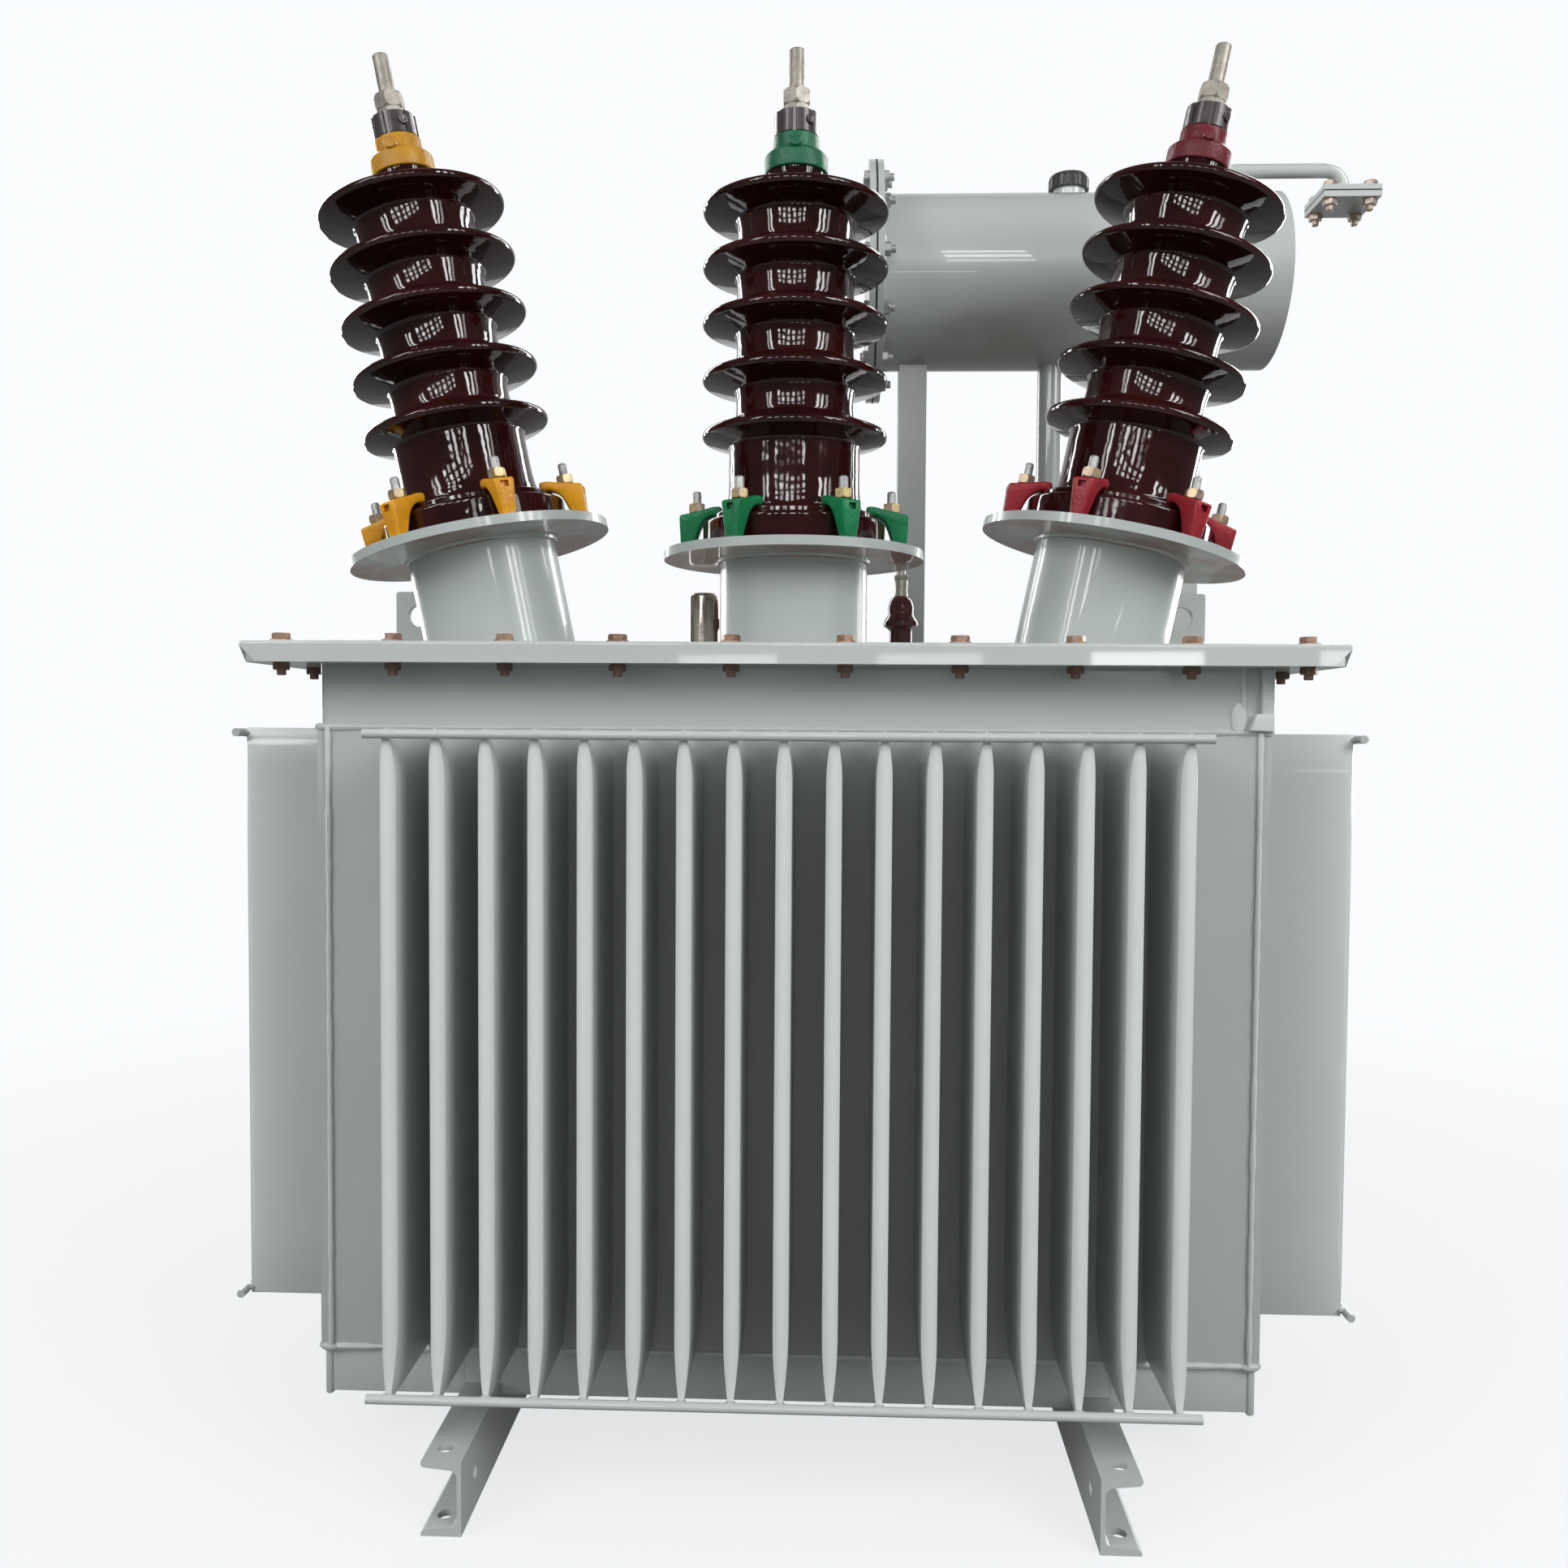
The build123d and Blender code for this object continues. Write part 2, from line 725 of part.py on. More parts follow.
with BuildPart() as breather_pipe:
    with BuildLine() as breather_route:
        FilletPolyline(
            (breather_x, conservator_axis_y, conservator_axis_z),
            (breather_x, conservator_axis_y, breather_level),
            (breather_end_x, conservator_axis_y, breather_level),
            (breather_end_x, conservator_axis_y, breather_flange_top),
            radius=breather_bend,
        )
    with BuildSketch(Plane((breather_x, conservator_axis_y, conservator_axis_z))):
        Circle(breather_radius)
    sweep()
    with BuildSketch(Plane.XY.offset(breather_flange_base)):
        with Locations((breather_end_x, conservator_axis_y)):
            Rectangle(breather_flange, breather_flange)
    extrude(amount=breather_flange_thickness)
    add(drum.part, mode=Mode.SUBTRACT)
breather_pipe.part.label = "breather_pipe"
export_step(breather_pipe.part, "parts/breather_pipe.step")

breather_plate_top = breather_flange_base - breather_gasket

with BuildPart() as breather_gasket_sheet:
    with BuildSketch(Plane.XY.offset(breather_plate_top)):
        with Locations((breather_end_x, conservator_axis_y)):
            Rectangle(breather_flange, breather_flange)
    extrude(amount=breather_gasket)
breather_gasket_sheet.part.label = "breather_gasket_sheet"
export_step(breather_gasket_sheet.part, "parts/breather_gasket_sheet.step")

with BuildPart() as breather_blank_plate:
    with BuildSketch(Plane.XY.offset(breather_plate_top)):
        with Locations((breather_end_x, conservator_axis_y)):
            Rectangle(breather_flange, breather_flange)
    extrude(amount=-breather_plate_thickness)
breather_blank_plate.part.label = "breather_blank_plate"
export_step(breather_blank_plate.part, "parts/breather_blank_plate.step")

# Lifting lugs: upright plates with an eye, one near each end of the cover.
lug_x = cover_width / 2 - lug_edge_distance
lug_y = cover_depth / 2 - lug_rear_distance

for side, direction in (("left", -1), ("right", 1)):
    with BuildPart() as lifting_lug:
        with BuildSketch(Plane.XZ.offset(-lug_y)) as lug_face:
            with Locations((direction * lug_x, cover_top + lug_height / 2)):
                Rectangle(lug_width, lug_height)
            fillet(lug_face.vertices().sort_by(Axis.Y)[-2:], radius=lug_corner)
            with Locations((direction * lug_x, cover_top + lug_hole_height)):
                Circle(lug_hole_diameter / 2, mode=Mode.SUBTRACT)
        extrude(amount=lug_thickness / 2, both=True)
    lifting_lug.part.label = f"{side}_lifting_lug"
    export_step(lifting_lug.part, f"parts/{side}_lifting_lug.step")

# Bright round cap over the relief fitting, beside the low voltage row.
relief_x = low_places[-1][0] - relief_distance

with BuildPart() as relief_cap:
    with BuildSketch(Plane.XY.offset(cover_top)):
        with Locations((relief_x, low_y)):
            Circle(relief_radius)
    extrude(amount=relief_height)
    chamfer(relief_cap.faces().sort_by(Axis.Z)[-1].edges(), length=relief_bevel)
relief_cap.part.label = "relief_cap"
export_step(relief_cap.part, "parts/relief_cap.step")
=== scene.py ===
import json
import math

import bmesh
import bpy
from mathutils import Euler, Matrix, Vector, noise


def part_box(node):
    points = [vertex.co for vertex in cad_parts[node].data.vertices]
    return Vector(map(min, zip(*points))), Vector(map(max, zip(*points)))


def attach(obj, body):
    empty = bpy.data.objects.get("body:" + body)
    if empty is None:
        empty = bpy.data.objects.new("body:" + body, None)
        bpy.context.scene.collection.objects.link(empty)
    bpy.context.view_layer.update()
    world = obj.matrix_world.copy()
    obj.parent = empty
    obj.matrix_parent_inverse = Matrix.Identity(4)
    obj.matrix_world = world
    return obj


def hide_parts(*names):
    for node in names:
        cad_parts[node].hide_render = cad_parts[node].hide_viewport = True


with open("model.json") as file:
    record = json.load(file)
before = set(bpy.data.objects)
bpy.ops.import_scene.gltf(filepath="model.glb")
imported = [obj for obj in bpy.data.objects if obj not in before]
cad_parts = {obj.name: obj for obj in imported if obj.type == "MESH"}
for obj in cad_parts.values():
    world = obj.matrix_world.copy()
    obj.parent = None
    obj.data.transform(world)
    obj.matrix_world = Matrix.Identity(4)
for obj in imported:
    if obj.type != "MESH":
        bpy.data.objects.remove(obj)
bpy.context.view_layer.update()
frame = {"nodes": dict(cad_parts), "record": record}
nodes = frame["nodes"]
scene = bpy.context.scene
scene.view_settings.view_transform = "Standard"

# Camera and studio: the camera stands a little right of the middle and just below the cover. A pale floor
# lies under an even white surround whose light fades upwards. Two softboxes light the front, and a low strip
# and five banks of window panes leave their barred reflections in the glaze and the enamel.
camera_pitch = 0.0383
camera_yaw = 0.0362
camera_roll = 0.0066
camera_place = (0.05006, -1.7762, 0.84636)
camera_data = bpy.data.cameras.new("camera")
camera_data.sensor_width = 36.0
camera_data.lens = 30.498
camera = bpy.data.objects.new("camera", camera_data)
level_view = Euler((math.pi / 2 - camera_pitch, 0, camera_yaw)).to_matrix()
camera_turn = level_view @ Matrix.Rotation(camera_roll, 3, "Z")
camera.matrix_world = Matrix.Translation(camera_place) @ camera_turn.to_4x4()
scene.collection.objects.link(camera)
scene.camera = camera


def add_node(tree, kind, values=None, **settings):
    node = tree.nodes.new(kind)
    for name, setting in settings.items():
        setattr(node, name, setting)
    for key, value in (values or {}).items():
        if isinstance(value, bpy.types.NodeSocket):
            tree.links.new(value, node.inputs[key])
        else:
            node.inputs[key].default_value = value
    return node


def calculate(tree, operation, first, second=0.0, third=0.0):
    return add_node(tree, "ShaderNodeMath", {0: first, 1: second, 2: third}, operation=operation).outputs[0]


def seen_directly(tree):
    path = add_node(tree, "ShaderNodeLightPath").outputs
    mirrored = calculate(tree, "MAXIMUM", path["Is Glossy Ray"], path["Is Transmission Ray"])
    return path["Is Camera Ray"], mirrored


def span(tree, value, low, high, new_low, new_high):
    values = {"Value": value, "From Min": low, "From Max": high, "To Min": new_low, "To Max": new_high}
    return add_node(tree, "ShaderNodeMapRange", values).outputs[0]


white_surround = (0.956, 0.972, 0.991, 1)
dome_colour = (0.98, 0.99, 1.0, 1)
dome_foot = 1.0
dome_top = 0.5
dome_in_gloss = 0.11
white_in_gloss = 0.7
world = bpy.data.worlds.new("studio")
world.use_nodes = True
scene.world = world
world_tree = world.node_tree
world_tree.nodes.clear()
camera_ray, mirror_ray = seen_directly(world_tree)
heading = add_node(world_tree, "ShaderNodeTexCoord").outputs["Generated"]
heading_axes = add_node(world_tree, "ShaderNodeSeparateXYZ", {0: heading}).outputs
behind_object = span(world_tree, heading_axes["Y"], 0.5, 0.85, 0.0, 1.0)
mirrored_behind = calculate(world_tree, "MULTIPLY", mirror_ray, behind_object)
mirrored_white = calculate(world_tree, "MULTIPLY", mirrored_behind, white_in_gloss)
shows_white = calculate(world_tree, "MAXIMUM", camera_ray, mirrored_white)
dome_fade = span(world_tree, heading_axes["Z"], 0.0, 1.0, dome_foot, dome_top)
dome_strength = span(world_tree, mirror_ray, 0.0, 1.0, dome_fade, dome_in_gloss)
fill = add_node(world_tree, "ShaderNodeBackground", {"Color": dome_colour, "Strength": dome_strength})
white = add_node(world_tree, "ShaderNodeBackground", {"Color": white_surround, "Strength": 1.0})
surround_mix = {0: shows_white, 1: fill.outputs[0], 2: white.outputs[0]}
surround = add_node(world_tree, "ShaderNodeMixShader", surround_mix)
add_node(world_tree, "ShaderNodeOutputWorld", {"Surface": surround.outputs[0]})

floor_size = 60.0
floor_in_gloss = 0.12
floor_bounce_tone = 0.13
floor_shape = bmesh.new()
bmesh.ops.create_grid(floor_shape, x_segments=1, y_segments=1, size=floor_size / 2)
floor_mesh = bpy.data.meshes.new("floor")
floor_shape.to_mesh(floor_mesh)
floor_shape.free()
floor = bpy.data.objects.new("floor", floor_mesh)
scene.collection.objects.link(floor)
floor_paint = bpy.data.materials.new("pale_floor")
floor_paint.use_nodes = True
floor_tree = floor_paint.node_tree
floor_tree.nodes.clear()
camera_ray, mirror_ray = seen_directly(floor_tree)
mirrored_floor = calculate(floor_tree, "MULTIPLY", mirror_ray, floor_in_gloss)
floor_seen = calculate(floor_tree, "MAXIMUM", camera_ray, mirrored_floor)
floor_place = add_node(floor_tree, "ShaderNodeTexCoord").outputs["Object"]
floor_reach = add_node(floor_tree, "ShaderNodeVectorMath", {0: floor_place}, operation="LENGTH")
floor_fade = span(floor_tree, floor_reach.outputs["Value"], 0.8, 2.8, 0.78, 1.0)
floor_glow = calculate(floor_tree, "MULTIPLY", floor_seen, floor_fade)
floor_noise = {"Vector": floor_place, "Scale": 3.0, "Detail": 4.0}
floor_grain = add_node(floor_tree, "ShaderNodeTexNoise", floor_noise).outputs["Fac"]
floor_tone = span(floor_tree, floor_grain, 0.0, 1.0, 0.74, 0.78)
floor_bounce = span(floor_tree, floor_seen, 0.0, 1.0, floor_bounce_tone, floor_tone)
floor_matt = add_node(floor_tree, "ShaderNodeBsdfDiffuse", {"Color": floor_bounce})
floor_white = add_node(floor_tree, "ShaderNodeEmission", {"Color": white_surround, "Strength": 1.0})
floor_mix = {0: floor_glow, 1: floor_matt.outputs[0], 2: floor_white.outputs[0]}
floor_surface = add_node(floor_tree, "ShaderNodeMixShader", floor_mix)
add_node(floor_tree, "ShaderNodeOutputMaterial", {"Surface": floor_surface.outputs[0]})
floor_mesh.materials.append(floor_paint)


def area_light(name, place, target, width, height, power):
    lamp = bpy.data.lights.new(name, "AREA")
    lamp.shape = "RECTANGLE"
    lamp.size = width
    lamp.size_y = height
    lamp.energy = power
    light = bpy.data.objects.new(name, lamp)
    aim = (Vector(target) - Vector(place)).to_track_quat("-Z", "Y").to_matrix().to_4x4()
    light.matrix_world = Matrix.Translation(place) @ aim
    light.visible_camera = False
    scene.collection.objects.link(light)
    return lamp


stand_centre = 0.2


def stand_at(turn, distance, height):
    angle = math.radians(turn)
    return Vector((math.sin(angle) * distance, -math.cos(angle) * distance - stand_centre, height))


softbox_size = 1.6
softbox_distance = 3.3
softbox_height = 2.4
softbox_target = (0, -stand_centre, 0.7)
for softbox, turn, power in (("left_softbox", -50, 50.0), ("right_softbox", 50, 66.0)):
    softbox_place = stand_at(turn, softbox_distance, softbox_height)
    area_light(softbox, softbox_place, softbox_target, softbox_size, softbox_size, power)
    bpy.data.objects[softbox].visible_glossy = False
window_glow = 50.0
window_distance = 6.0
upright_bar = 0.50
dimmest_pane = 0.25


def barred(tree, share, panes, bar):
    inside = calculate(tree, "FRACT", calculate(tree, "MULTIPLY", share, panes))
    from_middle = calculate(tree, "ABSOLUTE", calculate(tree, "SUBTRACT", inside, 0.5))
    return calculate(tree, "LESS_THAN", from_middle, 0.5 - bar / 2)


def window_bank(name, turn, width, sill, height, columns, rows, level_bar):
    middle = sill + height / 2
    place = stand_at(turn, window_distance, middle)
    lamp = area_light(name, place, (0, -0.1, middle), width, height, window_glow * width * height)
    lamp.use_nodes = True
    tree = lamp.node_tree
    glass = next(node for node in tree.nodes if node.type == "EMISSION")
    spread = add_node(tree, "ShaderNodeNewGeometry").outputs["Parametric"]
    across = add_node(tree, "ShaderNodeSeparateXYZ", {0: spread}).outputs
    upright_bars = barred(tree, across["X"], columns, upright_bar)
    level_bars = barred(tree, across["Y"], rows, level_bar)
    pane_row = calculate(tree, "FLOOR", calculate(tree, "MULTIPLY", across["Y"], rows))
    pane_column = calculate(tree, "FLOOR", calculate(tree, "MULTIPLY", across["X"], columns))
    pane = add_node(tree, "ShaderNodeCombineXYZ", {"X": pane_column, "Y": pane_row, "Z": turn}).outputs[0]
    pane_share = add_node(tree, "ShaderNodeTexWhiteNoise", {"Vector": pane}).outputs["Value"]
    pane_glow = span(tree, pane_share, 0.0, 1.0, dimmest_pane, 1.0)
    panes = calculate(tree, "MULTIPLY", upright_bars, level_bars)
    tree.links.new(calculate(tree, "MULTIPLY", panes, pane_glow), glass.inputs["Strength"])
    bpy.data.objects[name].visible_diffuse = False


window_banks = (
    ("low_strip", 11, 4.6, 1.205, 0.085, 4, 1, 0.05),
    ("front_windows", -6, 6.4, 2.5, 2.1, 6, 3, 0.38),
    ("left_windows", -50, 1.5, 2.4, 5.0, 2, 1, 0.05),
    ("right_windows", 58, 3.0, 2.5, 5.6, 3, 1, 0.05),
    ("left_side_windows", -140, 2.4, 0.3, 6.0, 2, 1, 0.05),
    ("right_side_windows", 136, 4.2, 0.3, 6.5, 2, 1, 0.05),
)
for bank in window_banks:
    window_bank(*bank)

# Base channels: two rolled steel channels under the tank, lying front to back with their flanges outwards.
# They are welded to the base, drilled for anchor bolts and sprayed with the same grey-green enamel.
enamel_colour = (0.480, 0.510, 0.494, 1)
primer_colour = (0.235, 0.105, 0.075, 1)
tank_low, tank_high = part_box("tank_base")
nose_reach_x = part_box("right_fin_wall")[1].x
nose_reach_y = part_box("rear_fin_wall")[1].y
tank_width = tank_high.x - tank_low.x
tank_depth = tank_high.y - tank_low.y
colour_socket = "NodeSocketColor"
float_socket = "NodeSocketFloat"


def new_group(name, inputs):
    tree = bpy.data.node_groups.new(name, "ShaderNodeTree")
    outputs = [("Color", colour_socket), ("Roughness", float_socket), ("Height", float_socket)]
    for direction, sockets in (("INPUT", inputs), ("OUTPUT", outputs)):
        for socket, kind in sockets:
            tree.interface.new_socket(socket, in_out=direction, socket_type=kind)
    place = add_node(tree, "ShaderNodeTexCoord").outputs["Object"]
    return tree, tree.nodes.new("NodeGroupInput").outputs, place


def put_out(tree, colour, gloss, height):
    add_node(tree, "NodeGroupOutput", {"Color": colour, "Roughness": gloss, "Height": height})


def mix_colours(tree, share, first, second, blend="MIX"):
    values = {0: share, 6: first, 7: second}
    return add_node(tree, "ShaderNodeMix", values, data_type="RGBA", blend_type=blend).outputs[2]


def grain(tree, place, scale, detail=2.0):
    values = {"Vector": place, "Scale": scale, "Detail": detail, "Roughness": 0.55}
    return add_node(tree, "ShaderNodeTexNoise", values).outputs["Fac"]


speck_colour = (0.16, 0.155, 0.13, 1)
run_stretch = (38, 38, 1.8)
film_inputs = [("Colour", colour_socket)]
film_inputs += [(socket, float_socket) for socket in ("Runs", "Primer", "Depth")]
film_tree, film_in, film_place = new_group("enamel_film", film_inputs)
cloud = grain(film_tree, film_place, 4.5, 5.0)
cloud_tone = span(film_tree, cloud, 0.3, 0.7, 0.975, 1.02)
clouded = mix_colours(film_tree, 1.0, film_in["Colour"], cloud_tone, "MULTIPLY")
film_axes = add_node(film_tree, "ShaderNodeSeparateXYZ", {0: film_place}).outputs
# Painted light: the film's last input scales its colour from 0.91 in toward the wall to 1.34 at the fin
# noses. This is a painted shade in the recesses and a painted highlight on the noses.
depth_out = calculate(film_tree, "ABSOLUTE", film_axes["Y"])
front_reach = span(film_tree, depth_out, tank_depth / 2, nose_reach_y, 0.0, 1.0)
width_out = calculate(film_tree, "ABSOLUTE", film_axes["X"])
side_reach = span(film_tree, width_out, tank_width / 2, nose_reach_x, 0.0, 1.0)
reach = calculate(film_tree, "POWER", calculate(film_tree, "MAXIMUM", front_reach, side_reach), 3.0)
painted_nose_light_tone = span(film_tree, reach, 0.0, 1.0, 0.91, 1.34)
painted_nose_light = add_node(film_tree, "ShaderNodeMix", {0: film_in["Depth"], 2: 1.0, 3: painted_nose_light_tone}).outputs[0]
clouded_and_lit = mix_colours(film_tree, 1.0, clouded, painted_nose_light, "MULTIPLY")
speck = span(film_tree, grain(film_tree, film_place, 210.0, 3.0), 0.70, 0.78, 0.0, 0.22)
specked = mix_colours(film_tree, speck, clouded_and_lit, speck_colour)
stretch = add_node(film_tree, "ShaderNodeMapping", {"Vector": film_place, "Scale": run_stretch}).outputs[0]
run_mask = span(film_tree, grain(film_tree, stretch, 1.0, 2.0), 0.50, 0.80, 0.0, 0.3)
runs = calculate(film_tree, "MULTIPLY", run_mask, film_in["Runs"])
facing = add_node(film_tree, "ShaderNodeNewGeometry").outputs["Normal"]
facing_up = add_node(film_tree, "ShaderNodeSeparateXYZ", {0: facing}).outputs["Z"]
underside = span(film_tree, facing_up, -0.5, -0.85, 0.0, 1.0)
thin_paint = span(film_tree, grain(film_tree, film_place, 9.0, 4.0), 0.36, 0.56, 0.1, 0.85)
bare_share = calculate(film_tree, "MULTIPLY", underside, thin_paint)
primer_mask = calculate(film_tree, "MULTIPLY", bare_share, film_in["Primer"])
film_colour = mix_colours(film_tree, primer_mask, specked, primer_colour)
peel = calculate(film_tree, "MULTIPLY", grain(film_tree, film_place, 330.0, 1.0), 0.22)
waver = calculate(film_tree, "MULTIPLY", grain(film_tree, film_place, 26.0, 2.0), 0.12)
film_height = calculate(film_tree, "ADD", calculate(film_tree, "ADD", peel, waver), runs)
film_gloss = span(film_tree, grain(film_tree, film_place, 14.0, 4.0), 0.3, 0.7, 0.28, 0.32)
put_out(film_tree, film_colour, film_gloss, film_height)


def surfaced(name, group, values, bump_distance, settings):
    material = bpy.data.materials.new(name)
    material.use_nodes = True
    tree = material.node_tree
    shader = next(node for node in tree.nodes if node.type == "BSDF_PRINCIPLED")
    finish = add_node(tree, "ShaderNodeGroup", node_tree=group)
    for key, value in values.items():
        finish.inputs[key].default_value = value
    tree.links.new(finish.outputs["Color"], shader.inputs["Base Color"])
    tree.links.new(finish.outputs["Roughness"], shader.inputs["Roughness"])
    relief = {"Height": finish.outputs["Height"], "Strength": 1.0, "Distance": bump_distance}
    tree.links.new(add_node(tree, "ShaderNodeBump", relief).outputs[0], shader.inputs["Normal"])
    for key, value in settings.items():
        shader.inputs[key].default_value = value
    return material


sprayed_coat = 0.45
polished_coat = 0.90
sprayed_relief = 0.0005
polished_relief = 0.0001


# depth sets the share of painted light: a painted shade in toward the wall and a painted highlight at the
# fin noses.
def enamel(name, runs, primer, depth=0.0, dullness=0.035, colour=enamel_colour, polish=0.0):
    film = {"Colour": colour, "Runs": runs, "Primer": primer, "Depth": depth}
    coat = sprayed_coat + (polished_coat - sprayed_coat) * polish
    relief = sprayed_relief + (polished_relief - sprayed_relief) * polish
    gloss = {"Coat Weight": coat, "Coat Roughness": dullness, "Specular IOR Level": 0.4}
    return surfaced(name, film_tree, film, relief, gloss)


def dress(names, material):
    for name in names:
        for slot in nodes[name].material_slots:
            slot.material = material


plain_enamel = enamel("plain_enamel", 0.25, 0.0)
dress(["left_channel", "right_channel"], plain_enamel)

# Tank base: a shallow pan on the channels, set in a little from the tank, with a lip under the fin walls.
# A skirt of flat strip closes its foot, cut out over the channels, with a bar down each corner. The seam
# round the lip is welded by hand, so its bead is rippled and swells at the corners.
dress(["tank_base"], plain_enamel)
bead_radius = 0.0040
bead_step = 0.005
bead_inset = 0.0012
bead_drop = 0.002
bead_ripple = 0.006
ripple_height = 0.10
run_lump = 0.35
run_lump_scale = 28.0
# The beads get an enamel lighter than the tank's: a painted highlight along the seams and on the collar lap.
bead_highlight_colour = (0.590, 0.620, 0.604, 1)
bead_highlight_enamel = enamel("bead_highlight_enamel", 0.25, 0.0, colour=bead_highlight_colour)


def swell(vert, centre, distance, lump_height, lump_scale):
    ripple = ripple_height * math.sin(distance * math.tau / bead_ripple)
    lump = lump_height * noise.noise(centre * lump_scale)
    vert.co = centre + (vert.co - centre) * (1 + ripple + lump)


def bead_circle(radius, matrix):
    bead = bmesh.new()
    ring = bmesh.ops.create_circle(bead, segments=8, radius=radius, matrix=matrix)["verts"]
    return bead, ring + list({edge for vert in ring for edge in vert.link_edges})


def bead_run(start, end, radius):
    along = (end - start).normalized()
    turn = along.to_track_quat("Z", "Y").to_matrix().to_4x4()
    bead, circle = bead_circle(radius, Matrix.Translation(start) @ turn)
    steps = int((end - start).length / bead_step)
    bmesh.ops.spin(bead, geom=circle, dvec=(end - start) / steps, axis=along, angle=0, steps=steps)
    bmesh.ops.holes_fill(bead, edges=[edge for edge in bead.edges if edge.is_boundary])
    bmesh.ops.recalc_face_normals(bead, faces=bead.faces)
    for vert in bead.verts:
        distance = (vert.co - start).dot(along)
        swell(vert, start + along * distance, distance, run_lump, run_lump_scale)
    return bead


def joined(parts):
    whole = bmesh.new()
    for part in parts:
        mesh = bpy.data.meshes.new("part")
        part.to_mesh(mesh)
        part.free()
        whole.from_mesh(mesh)
        bpy.data.meshes.remove(mesh)
    return whole


def repeated(part, places):
    whole = bmesh.new()
    mesh = bpy.data.meshes.new("part")
    part.to_mesh(mesh)
    part.free()
    for place in places:
        known = len(whole.verts)
        whole.from_mesh(mesh)
        whole.verts.ensure_lookup_table()
        bmesh.ops.transform(whole, matrix=place, verts=whole.verts[known:])
    bpy.data.meshes.remove(mesh)
    return whole


crease_angle = math.radians(35.0)


def place_piece(shape, name, material, replaced=()):
    mesh = bpy.data.meshes.new(name)
    shape.to_mesh(mesh)
    shape.free()
    mesh.shade_smooth()
    mesh.set_sharp_from_angle(angle=crease_angle)
    mesh.materials.append(material)
    piece = bpy.data.objects.new(name, mesh)
    scene.collection.objects.link(piece)
    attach(piece, "root")
    if replaced:
        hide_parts(*replaced)


def seam_round(level):
    left, front = tank_low.x + bead_inset, tank_low.y + bead_inset
    right, rear = tank_high.x - bead_inset, tank_high.y - bead_inset
    corners = [(left, front), (right, front), (right, rear), (left, rear)]
    points = [Vector((x, y, level)) for x, y in corners]
    return joined(bead_run(start, end, bead_radius) for start, end in zip(points, points[1:] + points[:1]))


place_piece(seam_round(tank_high.z - bead_drop), "base_seam", bead_highlight_enamel)
corner_signs = [(side, end) for side in (-1, 1) for end in (-1, 1)]
swell_size = (0.0118, 0.0058, 0.0054)
swell_x = tank_high.x - 0.0112
swell_y = tank_high.y - 0.001
swell_z = tank_high.z - 0.003
corner_swell = bmesh.new()
bmesh.ops.create_icosphere(corner_swell, subdivisions=3, radius=1.0)
bmesh.ops.scale(corner_swell, vec=swell_size, verts=corner_swell.verts)
swell_places = [Matrix.Translation((side * swell_x, end * swell_y, swell_z)) for side, end in corner_signs]
place_piece(repeated(corner_swell, swell_places), "base_seam_ends", plain_enamel)


def round_off(shape, items, rounding, segments=3, affect="EDGES"):
    bmesh.ops.bevel(
        shape, geom=items, offset=rounding, segments=segments, affect=affect, profile=0.5, material=-1
    )


def strip_between(low, high, rounding):
    low, high = Vector(low), Vector(high)
    strip = bmesh.new()
    bmesh.ops.create_cube(strip, size=1.0)
    bmesh.ops.scale(strip, vec=high - low, verts=strip.verts)
    round_off(strip, list(strip.edges), rounding)
    bmesh.ops.translate(strip, vec=(low + high) / 2, verts=strip.verts)
    return strip


pan_inset = 0.007
lip_thickness = 0.004
skirt_thickness = 0.003
skirt_drop = 0.0125
strip_rounding = 0.0008
channel_gap = 0.0003
corner_bar = 0.0095
bar_proud = 0.001
bar_drop = 0.0045
bar_rounding = 0.0035
skirt_x = tank_high.x - pan_inset + skirt_thickness
skirt_y = tank_high.y - pan_inset + skirt_thickness
skirt_top = tank_high.z - lip_thickness
skirt_bottom = tank_low.z - skirt_drop
bar_reach_x = skirt_x + bar_proud - corner_bar
bar_reach_y = skirt_y + bar_proud - corner_bar
skirt_stops = [-bar_reach_x]
for side in ("left", "right"):
    skirt_stops += [edge.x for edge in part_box(f"{side}_channel")]
skirt_stops.append(bar_reach_x)
skirt_strips = []
for place, (start, stop) in enumerate(zip(skirt_stops, skirt_stops[1:])):
    foot = tank_low.z + channel_gap if place % 2 else skirt_bottom
    for face in (-skirt_y, skirt_y - 2 * skirt_thickness):
        ends = (start, face, foot), (stop, face + 2 * skirt_thickness, skirt_top)
        skirt_strips.append(strip_between(*ends, strip_rounding))
for face in (-skirt_x, skirt_x - 2 * skirt_thickness):
    ends = (face, -bar_reach_y, skirt_bottom), (face + 2 * skirt_thickness, bar_reach_y, skirt_top)
    skirt_strips.append(strip_between(*ends, strip_rounding))
for side, end in corner_signs:
    middle = Vector((side * (bar_reach_x + corner_bar / 2), end * (bar_reach_y + corner_bar / 2), 0))
    half = Vector((corner_bar / 2, corner_bar / 2, 0))
    foot = middle - half + Vector((0, 0, skirt_bottom - bar_drop))
    skirt_strips.append(strip_between(foot, middle + half + Vector((0, 0, skirt_top)), bar_rounding))
place_piece(joined(skirt_strips), "base_skirt", plain_enamel)

# Fin walls: thin sheet folded into deep hollow fins, pinched flat and welded shut at both ends. Round bars
# are tacked across the noses, and a bead closes the wall edges at the four corners of the tank.
wall_sides = ("front", "rear", "left", "right")
